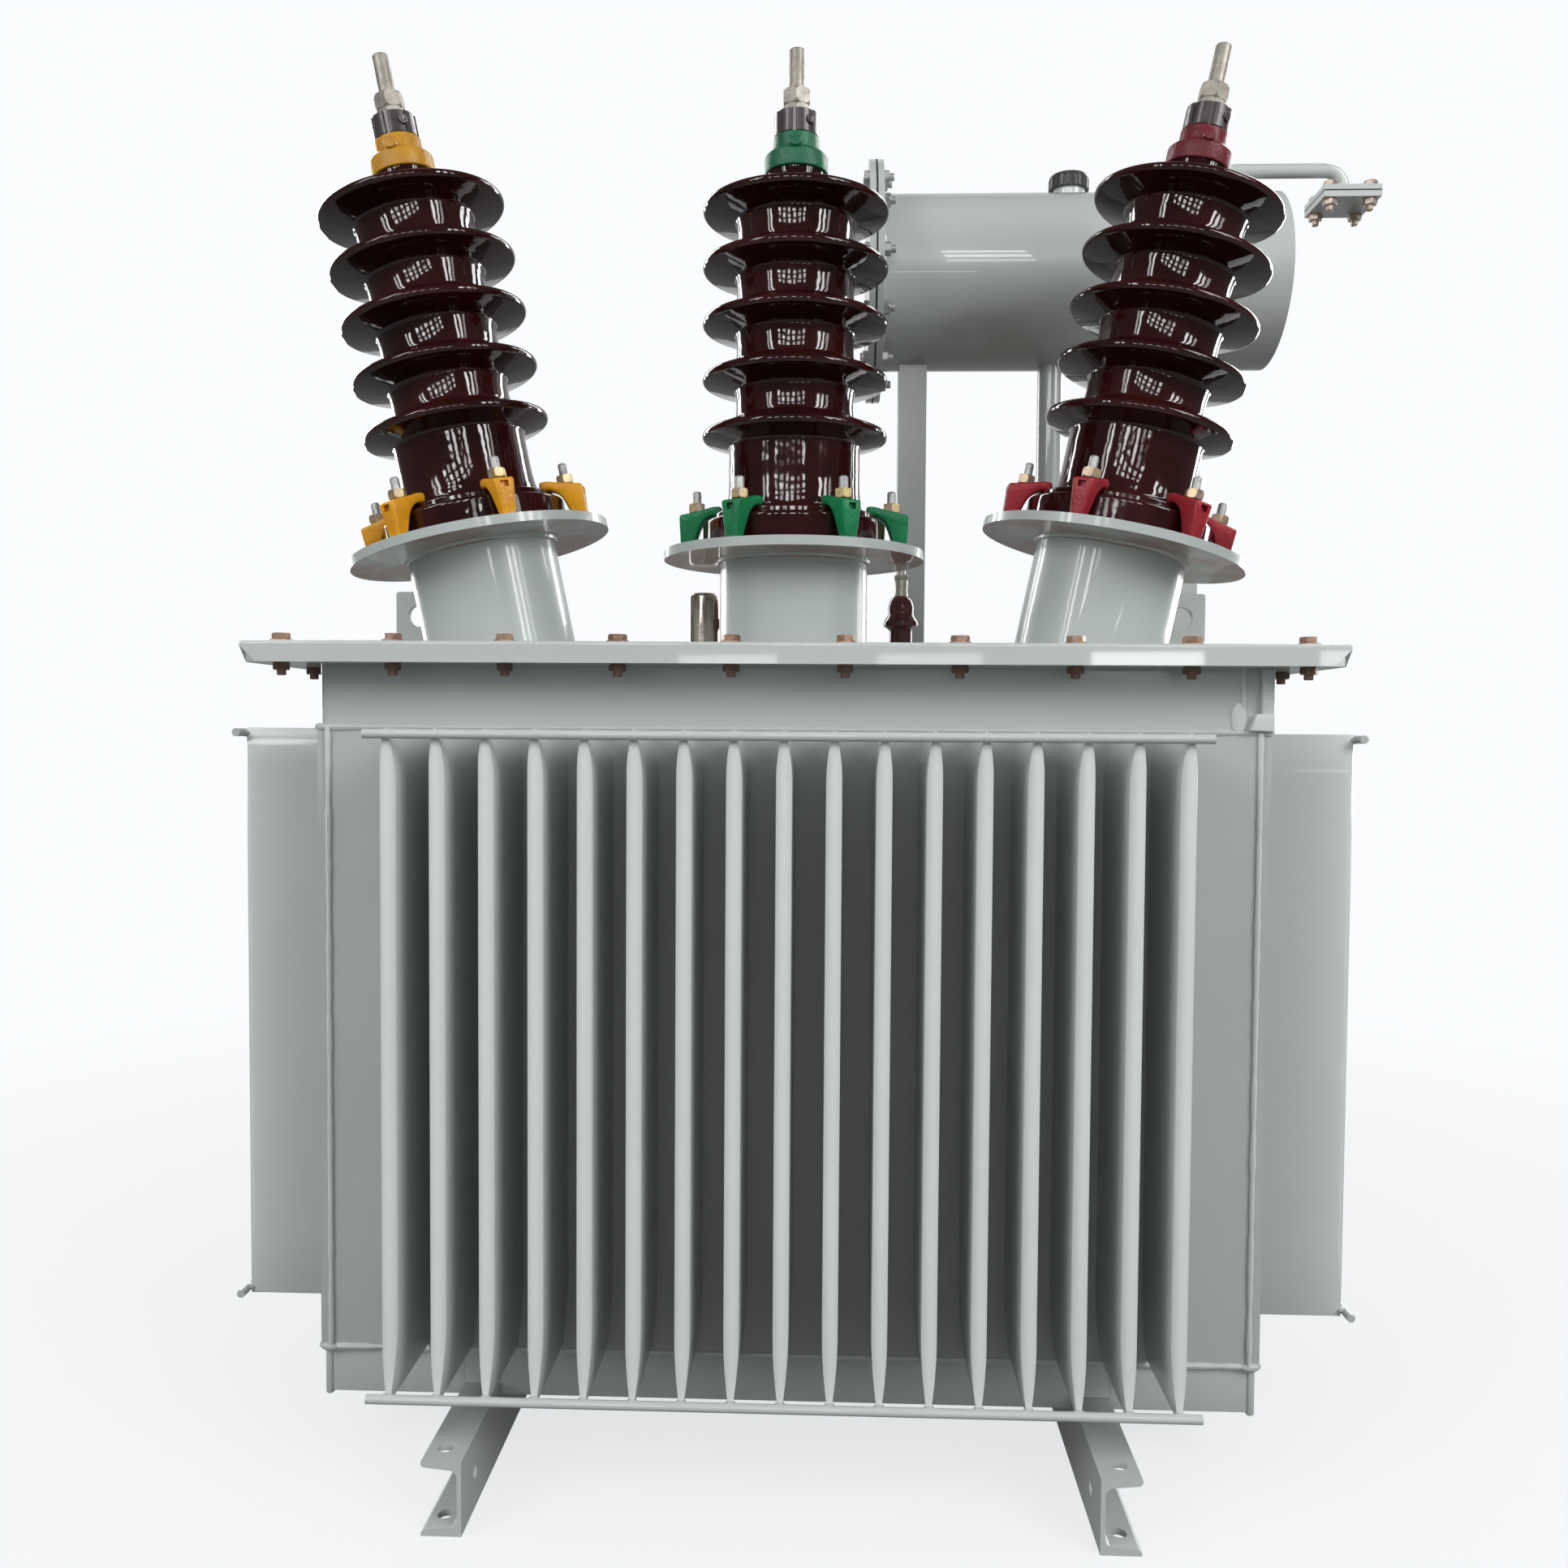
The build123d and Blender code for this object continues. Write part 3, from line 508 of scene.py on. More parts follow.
# The fin walls get the full painted light: darker in toward the wall, lighter at the fin noses.
wall_enamel = enamel("wall_enamel", 0.55, 0.0, depth=1.0, dullness=0.08)
dress([f"{side}_fin_wall" for side in wall_sides], wall_enamel)
dress([f"{side}_fin_rods" for side in wall_sides], plain_enamel)
wall_low, wall_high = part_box("front_fin_wall")
fin_pitch = 0.0523
edge_inset = 0.0125
edge_bead_proud = 0.0012
edge_bead_radius = 0.0032
edge_x = tank_high.x - edge_inset
edge_y = tank_high.y + edge_bead_proud
wall_corners = [Vector((side * edge_x, end * edge_y, wall_low.z)) for side, end in corner_signs]
wall_rise = Vector((0, 0, wall_high.z - wall_low.z))
edge_beads = [bead_run(corner, corner + wall_rise, edge_bead_radius) for corner in wall_corners]
# The edge beads carry the same painted highlight.
place_piece(joined(edge_beads), "wall_edge_seams", bead_highlight_enamel)

tack_radius = 0.0052
tack_spread = (1.25, 1.25, 0.8, 1)
rod_radius = 0.0065
tack_rows = (("front", 17, 0.004), ("rear", 17, -0.004), ("left", 6, 0.004), ("right", 6, -0.004))
tack = bmesh.new()
bmesh.ops.create_icosphere(tack, subdivisions=2, radius=tack_radius)
tack_places = []
for side, fin_count, inward in tack_rows:
    rods_low, rods_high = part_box(f"{side}_fin_rods")
    rod_middle = (rods_low + rods_high) / 2
    for level in (rods_low.z + rod_radius, rods_high.z - rod_radius):
        for place in range(fin_count):
            offset = (place - (fin_count - 1) / 2) * fin_pitch
            if side in ("front", "rear"):
                spot = (offset, rod_middle.y + inward, level)
            else:
                spot = (rod_middle.x + inward, offset, level)
            tack_places.append(Matrix.Translation(spot) @ Matrix.Diagonal(tack_spread))
place_piece(repeated(tack, tack_places), "rod_tacks", plain_enamel)

# Collar: the plain band between the fin walls and the rim, bent from one strip, with a hand-laid seam where
# it meets the walls. At the lap of the strip an edge plate and a gusset are welded on, with a lump of weld.
collar_enamel = enamel("collar_enamel", 0.85, 0.0, dullness=0.12)
dress(["tank_collar"], collar_enamel)
collar_low, collar_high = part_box("tank_collar")
place_piece(seam_round(collar_low.z), "collar_seam", collar_enamel)

edge_plate_width = 0.0140
edge_plate_foot = 0.018
edge_plate_proud = 0.0075
edge_plate_sunk = 0.0045
edge_plate_rounding = 0.0014
edge_plate = strip_between(
    (collar_high.x - edge_plate_width, collar_low.y - edge_plate_proud, collar_low.z + edge_plate_foot),
    (collar_high.x, collar_low.y + edge_plate_sunk, collar_high.z),
    edge_plate_rounding,
)


def cut_plate(corners, thickness):
    plate = bmesh.new()
    outline = plate.faces.new([plate.verts.new(corner) for corner in corners])
    grown = bmesh.ops.extrude_face_region(plate, geom=[outline])["geom"]
    far_side = [item for item in grown if isinstance(item, bmesh.types.BMVert)]
    bmesh.ops.translate(plate, vec=(0, thickness, 0), verts=far_side)
    return plate


gusset_proud = 0.0100
gusset_thickness = 0.0140
gusset_rounding = 0.0020
gusset_outline = [
    (0, 0.001),
    (0, 0.021),
    (0.0120, 0.022),
    (0.0205, 0.021),
    (0.0235, 0.012),
    (0.0270, 0.002),
]
gusset_corners = [
    (collar_high.x - across, collar_low.y - gusset_proud, collar_low.z + level)
    for across, level in gusset_outline
]
gusset = cut_plate(gusset_corners, gusset_thickness)
bmesh.ops.recalc_face_normals(gusset, faces=gusset.faces)
round_off(gusset, list(gusset.edges), gusset_rounding)

lap_seam_inset = 0.0325
lap_seam_foot = 0.028
lap_seam_radius = 0.0038
lap_seam_low = Vector((collar_high.x - lap_seam_inset, collar_low.y, collar_low.z + lap_seam_foot))
lap_seam_high = Vector((collar_high.x - lap_seam_inset, collar_low.y, collar_high.z))
lap_seam = bead_run(lap_seam_low, lap_seam_high, lap_seam_radius)

lump_half_size = (0.0095, 0.0040, 0.019)
lump_place = (collar_high.x - 0.0375, collar_low.y, collar_low.z + 0.0165)
lap_lump = bmesh.new()
bmesh.ops.create_uvsphere(lap_lump, u_segments=24, v_segments=16, radius=1.0)
bmesh.ops.scale(lap_lump, vec=lump_half_size, verts=lap_lump.verts)
bmesh.ops.translate(lap_lump, vec=lump_place, verts=lap_lump.verts)
# The lap pieces are painted with the lighter bead enamel, a painted highlight.
lap_shape = joined([edge_plate, gusset, lap_seam, lap_lump])
place_piece(lap_shape, "collar_lap", bead_highlight_enamel)

# Rim, gasket and cover: a flat frame on the collar, a dark rubber gasket, and the folded cover held down
# by a ring of bolts with passivated heads, washers and nuts.
cover_enamel = enamel("cover_enamel", 0.6, 0.0, dullness=0.03, polish=0.6)
dress(["tank_rim", "tank_cover"], cover_enamel)
rubber_black = (0.016, 0.015, 0.014, 1)
dust_colour = (0.11, 0.105, 0.10, 1)
rubber_tree, rubber_in, rubber_place = new_group("rubber_skin", [("Colour", colour_socket)])
rubber_dust = span(rubber_tree, grain(rubber_tree, rubber_place, 45.0, 4.0), 0.45, 0.8, 0.0, 0.35)
rubber_colour = mix_colours(rubber_tree, rubber_dust, rubber_in["Colour"], dust_colour)
rubber_gloss = span(rubber_tree, grain(rubber_tree, rubber_place, 60.0), 0.3, 0.7, 0.55, 0.75)
put_out(rubber_tree, rubber_colour, rubber_gloss, grain(rubber_tree, rubber_place, 300.0))
gasket_rubber = surfaced("gasket_rubber", rubber_tree, {"Colour": rubber_black}, 0.0002, {})
dress(["rim_gasket", "breather_gasket_sheet"], gasket_rubber)

tarnish_colour = (0.10, 0.085, 0.07, 1)
metal_inputs = [("Colour", colour_socket), ("Tint", colour_socket), ("Dull", float_socket)]
metal_tree, metal_in, metal_place = new_group("plated_metal", metal_inputs)
tint_share = span(metal_tree, grain(metal_tree, metal_place, 34.0, 3.0), 0.40, 0.62, 0.0, 1.0)
tinted = mix_colours(metal_tree, tint_share, metal_in["Colour"], metal_in["Tint"])
tarnish = span(metal_tree, grain(metal_tree, metal_place, 160.0, 4.0), 0.52, 0.75, 0.0, 0.5)
metal_colour = mix_colours(metal_tree, tarnish, tinted, tarnish_colour)
metal_wear = span(metal_tree, grain(metal_tree, metal_place, 90.0, 4.0), 0.3, 0.7, -0.09, 0.09)
metal_gloss = calculate(metal_tree, "ADD", metal_in["Dull"], metal_wear)
put_out(metal_tree, metal_colour, metal_gloss, grain(metal_tree, metal_place, 420.0, 3.0))


def plated(name, colour, tint, dullness, metallic, relief=0.00008):
    finish = {"Colour": colour, "Tint": tint, "Dull": dullness}
    return surfaced(name, metal_tree, finish, relief, {"Metallic": metallic})


copper_passivate = plated("copper_passivate", (0.32, 0.190, 0.132, 1), (0.45, 0.300, 0.228, 1), 0.36, 0.6)
cover_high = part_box("tank_cover")[1]
nut_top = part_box("tank_rim")[0].z
bolt_edge = 0.027
bolt_pitch = 0.127
side_bolt_pitch = 0.118


def upright_prism(sides, radius, height, base=0.0):
    prism = bmesh.new()
    middle = Matrix.Translation((0, 0, base + height / 2))
    bmesh.ops.create_cone(
        prism, cap_ends=True, segments=sides, radius1=radius, radius2=radius, depth=height, matrix=middle
    )
    return prism


def bevelled_prism(radius, height, base, corner_cut):
    prism = upright_prism(6, radius, height, base)
    round_off(prism, list(prism.verts), corner_cut, 1, "VERTICES")
    return prism


def on_ring(vert, radius, height):
    return abs(vert.co.z - height) < 1e-6 and abs(vert.co.xy.length - radius) < 1e-6


def spun(shape, line, steps):
    bmesh.ops.spin(
        shape, geom=line, cent=(0, 0, 0), axis=(0, 0, 1), angle=math.tau, steps=steps, use_merge=True
    )
    bmesh.ops.remove_doubles(shape, verts=shape.verts, dist=1e-6)
    bmesh.ops.recalc_face_normals(shape, faces=shape.faces)


def turned(corners, steps=96):
    shape = bmesh.new()
    line = [shape.verts.new((radius, 0, height)) for radius, height, rounding in corners]
    spun(shape, line + [shape.edges.new(pair) for pair in zip(line, line[1:])], steps)
    for radius, height, rounding in corners:
        if rounding:
            ring = [
                edge for edge in shape.edges if all(on_ring(vert, radius, height) for vert in edge.verts)
            ]
            round_off(shape, ring, rounding, 4)
    return shape


def turned_rod(radius, low, high, steps, low_rounding=0, high_rounding=0):
    corners = [(0, low, 0), (radius, low, low_rounding), (radius, high, high_rounding), (0, high, 0)]
    return turned(corners, steps)


def turned_ring(inside, outside, low, high, rounding=0):
    corners = [(inside, low, 0), (outside, low, rounding), (outside, high, rounding), (inside, high, 0)]
    return turned(corners + corners[:1])


washer_top = cover_high.z + 0.0024
nut_height = 0.0080
washer = turned_rod(0.0125, cover_high.z, washer_top, 32, high_rounding=0.0006)
bolt_end = turned_rod(0.0052, nut_top - 0.0140, nut_top, 24, low_rounding=0.0012)
cover_bolt = joined([washer, bevelled_prism(0.0108, 0.0068, washer_top, 0.0022)])
cover_nut = joined([bevelled_prism(0.0098, nut_height, nut_top - nut_height, 0.0020), bolt_end])
bolt_spots = [
    (place * bolt_pitch - 4.5 * bolt_pitch, end * (cover_high.y - bolt_edge))
    for place in range(10)
    for end in (-1, 1)
]
bolt_spots += [
    (side * (cover_high.x - bolt_edge), (place - 1.5) * side_bolt_pitch)
    for place in range(4)
    for side in (-1, 1)
]
bolt_places = [
    Matrix.Translation((x, y, 0)) @ Matrix.Rotation(noise.cell(Vector((x * 9, y * 9, 3))) * math.pi, 4, "Z")
    for x, y in bolt_spots
]
place_piece(repeated(cover_bolt, bolt_places), "cover_bolts", copper_passivate)
# The nuts under the rim get a darker copy of the bolts' plating: painted shade.
shade_painted_passivate = plated("shade_painted_passivate", (0.165, 0.100, 0.070, 1), (0.235, 0.155, 0.115, 1), 0.44, 0.6)
place_piece(repeated(cover_nut, bolt_places), "cover_nuts", shade_painted_passivate)

# Risers: three steel tubes welded to the cover, each with a round flange. Their undersides got little paint,
# so red primer shows there, and the beads round the tubes are lumpy.
# The risers' enamel is a darker copy of the tank's enamel: painted shade.
riser_shade_colour = (0.392, 0.437, 0.421, 1)
shade_painted_riser_enamel = enamel("shade_painted_riser_enamel", 0.25, 1.0, colour=riser_shade_colour)
dress([f"{phase}_riser" for phase in ("left", "middle", "right")], shade_painted_riser_enamel)
riser_radius = 0.0915
flange_thickness = 0.011
flange_bead_radius = 0.0042
foot_bead_radius = 0.0036
ring_lump = 0.40
ring_lump_scale = 30.0
stud_middle = 0.5758
phase_seats = {}
for mount in frame["record"]["mounts"]:
    if mount["name"].endswith("_high_terminal"):
        phase = mount["name"].removesuffix("_high_terminal")
        up = Vector(mount["axis"])
        across = Vector((up.z, 0, -up.x))
        turn = Matrix((across, (0, 1, 0), up)).transposed().to_4x4()
        phase_seats[phase] = Matrix.Translation(Vector(mount["pos_m"]) - up * stud_middle) @ turn


def bead_ring(ring_radius, radius, steps=150):
    spot = Matrix.Translation((ring_radius, 0, 0)) @ Matrix.Rotation(math.pi / 2, 4, "X")
    bead, circle = bead_circle(radius, spot)
    spun(bead, circle, steps)
    for vert in bead.verts:
        centre = Vector((vert.co.x, vert.co.y, 0)).normalized() * ring_radius
        distance = math.atan2(centre.y, centre.x) * ring_radius
        swell(vert, centre, distance, ring_lump, ring_lump_scale)
    return bead


for phase, seat in phase_seats.items():
    flange_bead = bead_ring(riser_radius, flange_bead_radius)
    bmesh.ops.transform(
        flange_bead, matrix=seat @ Matrix.Translation((0, 0, -flange_thickness)), verts=flange_bead.verts
    )
    up = seat.col[2].xyz
    foot = seat.translation - up * ((seat.translation.z - cover_high.z) / up.z)
    foot_bead = bead_ring(riser_radius, foot_bead_radius)
    oval = Matrix.Translation(foot) @ Matrix.Diagonal((1 / up.z, 1, 1, 1))
    bmesh.ops.transform(foot_bead, matrix=oval, verts=foot_bead.verts)
    place_piece(joined([flange_bead, foot_bead]), f"{phase}_riser_beads", shade_painted_riser_enamel)

# High voltage bushings: turned porcelain with a stepped foot, five sheds and a neck, dipped in a deep brown
# glaze that lies thinner and redder in random patches. Each stands on a thin rubber ring.
pit_colour = (0.006, 0.003, 0.003, 1)
glaze_inputs = [("Deep", colour_socket), ("Thin", colour_socket)]
glaze_tree, glaze_in, glaze_place = new_group("brown_glaze", glaze_inputs)
glaze_pool = span(glaze_tree, grain(glaze_tree, glaze_place, 11.0, 4.0), 0.35, 0.68, 0.0, 1.0)
glaze_colour = mix_colours(glaze_tree, glaze_pool, glaze_in["Deep"], glaze_in["Thin"])
pin_holes = span(glaze_tree, grain(glaze_tree, glaze_place, 190.0, 2.0), 0.74, 0.80, 0.0, 0.7)
glaze_pitted = mix_colours(glaze_tree, pin_holes, glaze_colour, pit_colour)
glaze_gloss = span(glaze_tree, grain(glaze_tree, glaze_place, 22.0, 3.0), 0.3, 0.7, 0.035, 0.085)
put_out(glaze_tree, glaze_pitted, glaze_gloss, grain(glaze_tree, glaze_place, 30.0, 2.0))
glaze_shades = {"Deep": (0.0150, 0.0028, 0.0026, 1), "Thin": (0.0330, 0.0058, 0.0052, 1)}
glaze_settings = {"Specular IOR Level": 0.5, "IOR": 1.52}
brown_porcelain = surfaced("brown_porcelain", glaze_tree, glaze_shades, 0.0006, glaze_settings)

foot_radius = 0.113
seat_height = 0.045
tier_radius = 0.102
body_radius = 0.081
core_radius = 0.0725
shed_count = 5
shed_radius = 0.1145
shed_half_rim = 0.0040
shed_rounding = 0.0036
shed_drop = 0.0125
shed_rise = 0.020
first_shed = 0.142
shed_pitch = 0.0687
waist_depth = 0.0014
waist_points = 7
waist_rounding = 0.0025
neck_radius = 0.036
neck_base = 0.4478
porcelain_top = 0.4628
body_flare = [
    (0.0036, 0, 0.006),
    (0.0028, 0.010, 0),
    (0.0020, 0.014, 0),
    (0.0011, 0.021, 0),
    (0.0005, 0.028, 0),
    (0.0001, 0.035, 0),
    (0, 0.042, 0),
]
porcelain_corners = [
    (0, 0, 0),
    (foot_radius, 0, 0.002),
    (foot_radius, 0.0035, 0),
    (foot_radius, 0.0305, 0),
    (foot_radius, 0.036, 0.004),
    (tier_radius, 0.036, 0.002),
    (tier_radius, seat_height, 0.003),
    *((body_radius + out, seat_height + rise, rounding) for out, rise, rounding in body_flare),
    (body_radius, first_shed - shed_drop - 0.006, 0),
    (body_radius, first_shed - shed_drop, 0.003),
]
for place in range(shed_count):
    level = first_shed + place * shed_pitch
    porcelain_corners += [
        (shed_radius, level - shed_half_rim, shed_rounding),
        (shed_radius, level + shed_half_rim, shed_rounding),
    ]
    if place < shed_count - 1:
        waist_low = level + shed_rise
        waist_height = shed_pitch - shed_rise - shed_drop
        for step in range(waist_points):
            share = step / (waist_points - 1)
            inward = waist_depth * (2 * share - 1) ** 2
            rounding = waist_rounding if step in (0, waist_points - 1) else 0
            porcelain_corners.append((core_radius + inward, waist_low + share * waist_height, rounding))
porcelain_corners.append((neck_radius, neck_base, 0.009))
porcelain_corners += [(neck_radius, porcelain_top, 0), (0, porcelain_top, 0)]
porcelain_mesh = turned(porcelain_corners, 112)
ring_inside = 0.104
ring_outside = 0.1146
ring_bottom = 0.0001
ring_top = 0.0028
ring_rounding = 0.0008
for phase, seat in phase_seats.items():
    bushing = repeated(porcelain_mesh.copy(), [seat])
    bushing_node = [f"{phase}_bushing"]
    place_piece(bushing, f"{phase}_glazed_bushing", brown_porcelain, bushing_node)
    foot_ring = turned_ring(ring_inside, ring_outside, ring_bottom, ring_top, ring_rounding)
    place_piece(repeated(foot_ring, [seat]), f"{phase}_foot_ring", gasket_rubber)
porcelain_mesh.free()

# Clamps: six cast iron hooks round each foot, painted yellow, green or red for the three phases. A stud in
# the flange comes up through each hook, with a zinc nut on its sloping back.
chip_colour = (0.10, 0.085, 0.075, 1)
cast_inputs = [("Colour", colour_socket), ("Shade", colour_socket)]
cast_tree, cast_in, cast_place = new_group("cast_paint", cast_inputs)
cast_share = span(cast_tree, grain(cast_tree, cast_place, 32.0, 4.0), 0.38, 0.66, 0.0, 1.0)
cast_colour = mix_colours(cast_tree, cast_share, cast_in["Colour"], cast_in["Shade"])
chips = span(cast_tree, grain(cast_tree, cast_place, 120.0, 4.0), 0.71, 0.75, 0.0, 0.8)
cast_chipped = mix_colours(cast_tree, chips, cast_colour, chip_colour)
cast_gloss = span(cast_tree, grain(cast_tree, cast_place, 40.0, 3.0), 0.3, 0.7, 0.28, 0.46)
cast_grit = grain(cast_tree, cast_place, 240.0, 3.0)
cast_lump = calculate(cast_tree, "MULTIPLY", grain(cast_tree, cast_place, 60.0, 2.0), 1.4)
put_out(cast_tree, cast_chipped, cast_gloss, calculate(cast_tree, "ADD", cast_grit, cast_lump))


def cast_paint(name, colour, shade):
    shades = {"Colour": colour, "Shade": shade}
    return surfaced(name, cast_tree, shades, 0.0006, {"Specular IOR Level": 0.3})


phase_paints = {
    "left": cast_paint("yellow_cast", (0.70, 0.31, 0.006, 1), (0.56, 0.235, 0.005, 1)),
    "middle": cast_paint("green_cast", (0.007, 0.200, 0.072, 1), (0.005, 0.140, 0.052, 1)),
    "right": cast_paint("red_cast", (0.33, 0.020, 0.030, 1), (0.235, 0.013, 0.021, 1)),
}
paint_slots = {"left": "yellow_paint", "middle": "green_paint", "right": "red_paint"}
yellow_zinc = plated("yellow_zinc", (0.56, 0.45, 0.22, 1), (0.50, 0.37, 0.32, 1), 0.42, 0.85)
grey_zinc = plated("grey_zinc", (0.40, 0.41, 0.41, 1), (0.49, 0.49, 0.48, 1), 0.50, 0.7)
clamp_foot_width = 0.016
clamp_head_width = 0.028
clamp_top = 0.057
clamp_rounding = 0.0034
clamp_outline = [
    (0.1250, 0),
    (0.1405, 0),
    (0.1425, 0.0460),
    (0.1180, 0.0512),
    (0.1000, 0.0565),
    (0.0895, 0.0565),
    (0.0895, 0.0455),
    (0.1020, 0.0450),
    (0.1105, 0.0395),
    (0.1160, 0.0310),
    (0.1200, 0.0180),
]
clamp_corners = [(radius, -clamp_head_width / 2, height) for radius, height in clamp_outline]
clamp = cut_plate(clamp_corners, clamp_head_width)
for vert in clamp.verts:
    foot_share = 1 - vert.co.z / clamp_top
    vert.co.y *= 1 - foot_share * (1 - clamp_foot_width / clamp_head_width)
bmesh.ops.recalc_face_normals(clamp, faces=clamp.faces)
round_off(clamp, list(clamp.edges), clamp_rounding)
notch_half = 0.0048
notch_low = 0.0350
notch_high = 0.0420
clamp_back = 0.1385
notch_cuts = [
    ((0, -notch_half, 0), (0, 1, 0)),
    ((0, notch_half, 0), (0, 1, 0)),
    ((0, 0, notch_low), (0, 0, 1)),
]
for cut_place, cut_facing in notch_cuts:
    whole_clamp = clamp.verts[:] + clamp.edges[:] + clamp.faces[:]
    bmesh.ops.bisect_plane(clamp, geom=whole_clamp, plane_co=cut_place, plane_no=cut_facing)
notch_faces = []
for face in clamp.faces:
    middle = face.calc_center_median()
    if abs(middle.y) < notch_half and middle.x > clamp_back and notch_low < middle.z < notch_high:
        notch_faces.append(face)
bmesh.ops.inset_region(clamp, faces=notch_faces, thickness=0.0004, depth=-0.0055)
clamp_stud_radius = 0.121
nut_seat = 0.0505
stud_foot = 0.03
stud_tip = 0.0765
clamp_nut = bevelled_prism(0.0110, 0.0105, nut_seat, 0.0024)
clamp_stud = turned_rod(0.0055, stud_foot, stud_tip, 28, high_rounding=0.003)
for shape in (clamp_nut, clamp_stud):
    bmesh.ops.translate(shape, vec=(clamp_stud_radius, 0, 0), verts=shape.verts)
for phase, seat in phase_seats.items():
    places = [seat @ Matrix.Rotation(math.radians(60.0 * place), 4, "Z") for place in range(6)]
    hooks = repeated(clamp.copy(), places)
    hook_nodes = [f"{phase}_bushing_clamps"]
    place_piece(hooks, f"{phase}_hooks", phase_paints[phase], hook_nodes)
    nuts = repeated(clamp_nut.copy(), places)
    place_piece(nuts, f"{phase}_hook_nuts", yellow_zinc)
    studs = repeated(clamp_stud.copy(), places)
    place_piece(studs, f"{phase}_hook_studs", grey_zinc)
for shape in (clamp, clamp_nut, clamp_stud):
    shape.free()

# High voltage terminals: a cast cap cemented on the neck with a bleed boss in front, painted in the clamps'
# colours but darker as painted shade, a dark slotted sleeve with a side screw, and a tinned stud with a lock
# nut and a tall nut.
cap_height = 0.045
cap_corners = [
    (0, 0, 0),
    (0.039, 0, 0.002),
    (0.039, 0.020, 0.001),
    (0.034, 0.025, 0.001),
    (0.0284, 0.025, 0.001),
    (0.0284, cap_height, 0.002),
    (0, cap_height, 0),
]
cap_base = Matrix.Translation((0, 0, porcelain_top))
boss = turned_rod(0.0078, 0, 0.014, 28, high_rounding=0.002)
boss_place = Matrix.Translation((0, -0.0265, 0.0265)) @ Matrix.Rotation(math.radians(82), 4, "X")
cap_shape = joined([turned(cap_corners, 64), repeated(boss, [boss_place])])
bmesh.ops.transform(cap_shape, matrix=cap_base, verts=cap_shape.verts)

sleeve_base = porcelain_top + cap_height
sleeve_height = 0.028
sleeve_radius = 0.0254
sleeve_steps = 40


def ribbed(radius, height, steps, rib, gap, depth):
    drum = upright_prism(steps, radius, height)
    sides = [face for face in drum.faces if abs(face.normal.z) < 0.5]
    sides.sort(key=lambda face: math.atan2(face.calc_center_median().y, face.calc_center_median().x))
    raised = [face for place, face in enumerate(sides) if place % (rib + gap) < rib]
    bmesh.ops.inset_region(drum, faces=raised, thickness=depth * 0.35, depth=depth, use_even_offset=True)
    return drum


sleeve = ribbed(sleeve_radius, sleeve_height, sleeve_steps, 4, 1, 0.0022)
bmesh.ops.translate(sleeve, vec=(0, 0, sleeve_base), verts=sleeve.verts)
screw_corners = [(0, 0, 0), (0.0056, 0, 0), (0.0056, 0.004, 0.0008), (0.0034, 0.004, 0), (0, 0.0022, 0)]
screw_height = sleeve_base + 0.015
screw_reach = Matrix.Translation((0, 0, 0.026))
screw_turn = Matrix.Rotation(math.radians(38), 4, "Z") @ Matrix.Rotation(math.radians(90), 4, "X")
screw_place = Matrix.Translation((0, 0, screw_height)) @ screw_turn @ screw_reach
sleeve_shape = joined([sleeve, repeated(turned(screw_corners, 24), [screw_place])])
sleeve_shades = {"Colour": (0.030, 0.019, 0.022, 1), "Shade": (0.058, 0.040, 0.045, 1)}
sleeve_coat = {"Coat Weight": 0.5, "Coat Roughness": 0.1}
dark_sleeve = surfaced("dark_sleeve", cast_tree, sleeve_shades, 0.0003, sleeve_coat)

stud_base = sleeve_base + sleeve_height
stud_top = stud_base + 0.080
stud_nut_radius = 0.0186
stud_washer_corners = [
    (0, stud_base, 0),
    (0.0158, stud_base + 0.0092, 0),
    (0.0158, stud_base + 0.0112, 0),
    (0, stud_base + 0.0112, 0),
]
terminal_shape = joined([
    turned_rod(0.010, stud_base, stud_top, 40, high_rounding=0.0026),
    bevelled_prism(stud_nut_radius, 0.0095, stud_base, 0.0034),
    turned(stud_washer_corners, 40),
    bevelled_prism(stud_nut_radius, 0.0185, stud_base + 0.011, 0.0042),
])
tinned_metal = plated("tinned_metal", (0.33, 0.305, 0.265, 1), (0.43, 0.405, 0.355, 1), 0.50, 0.75)
# The caps' paints are darker copies of the clamp paints: painted shade.
shaded_cap_paints = {
    "left": cast_paint("shaded_yellow_cap", (0.52, 0.255, 0.012, 1), (0.41, 0.195, 0.010, 1)),
    "middle": cast_paint("shaded_green_cap", (0.012, 0.135, 0.062, 1), (0.008, 0.095, 0.045, 1)),
    "right": cast_paint("shaded_red_cap", (0.155, 0.017, 0.025, 1), (0.105, 0.011, 0.017, 1)),
}
for phase, seat in phase_seats.items():
    terminal_pieces = (
        ("cast_cap", cap_shape, shaded_cap_paints[phase], paint_slots[phase], "cap"),
        ("slotted_sleeve", sleeve_shape, dark_sleeve, "dark_sleeve", "sleeve"),
        ("nutted_stud", terminal_shape, tinned_metal, "tinned_metal", "stud"),
    )
    for name, shape, material, slot, node in terminal_pieces:
        piece = repeated(shape.copy(), [seat])
        place_piece(piece, f"{phase}_{name}", material, [f"{phase}_terminal_{node}"])
for shape in (cap_shape, sleeve_shape, terminal_shape):
    shape.free()

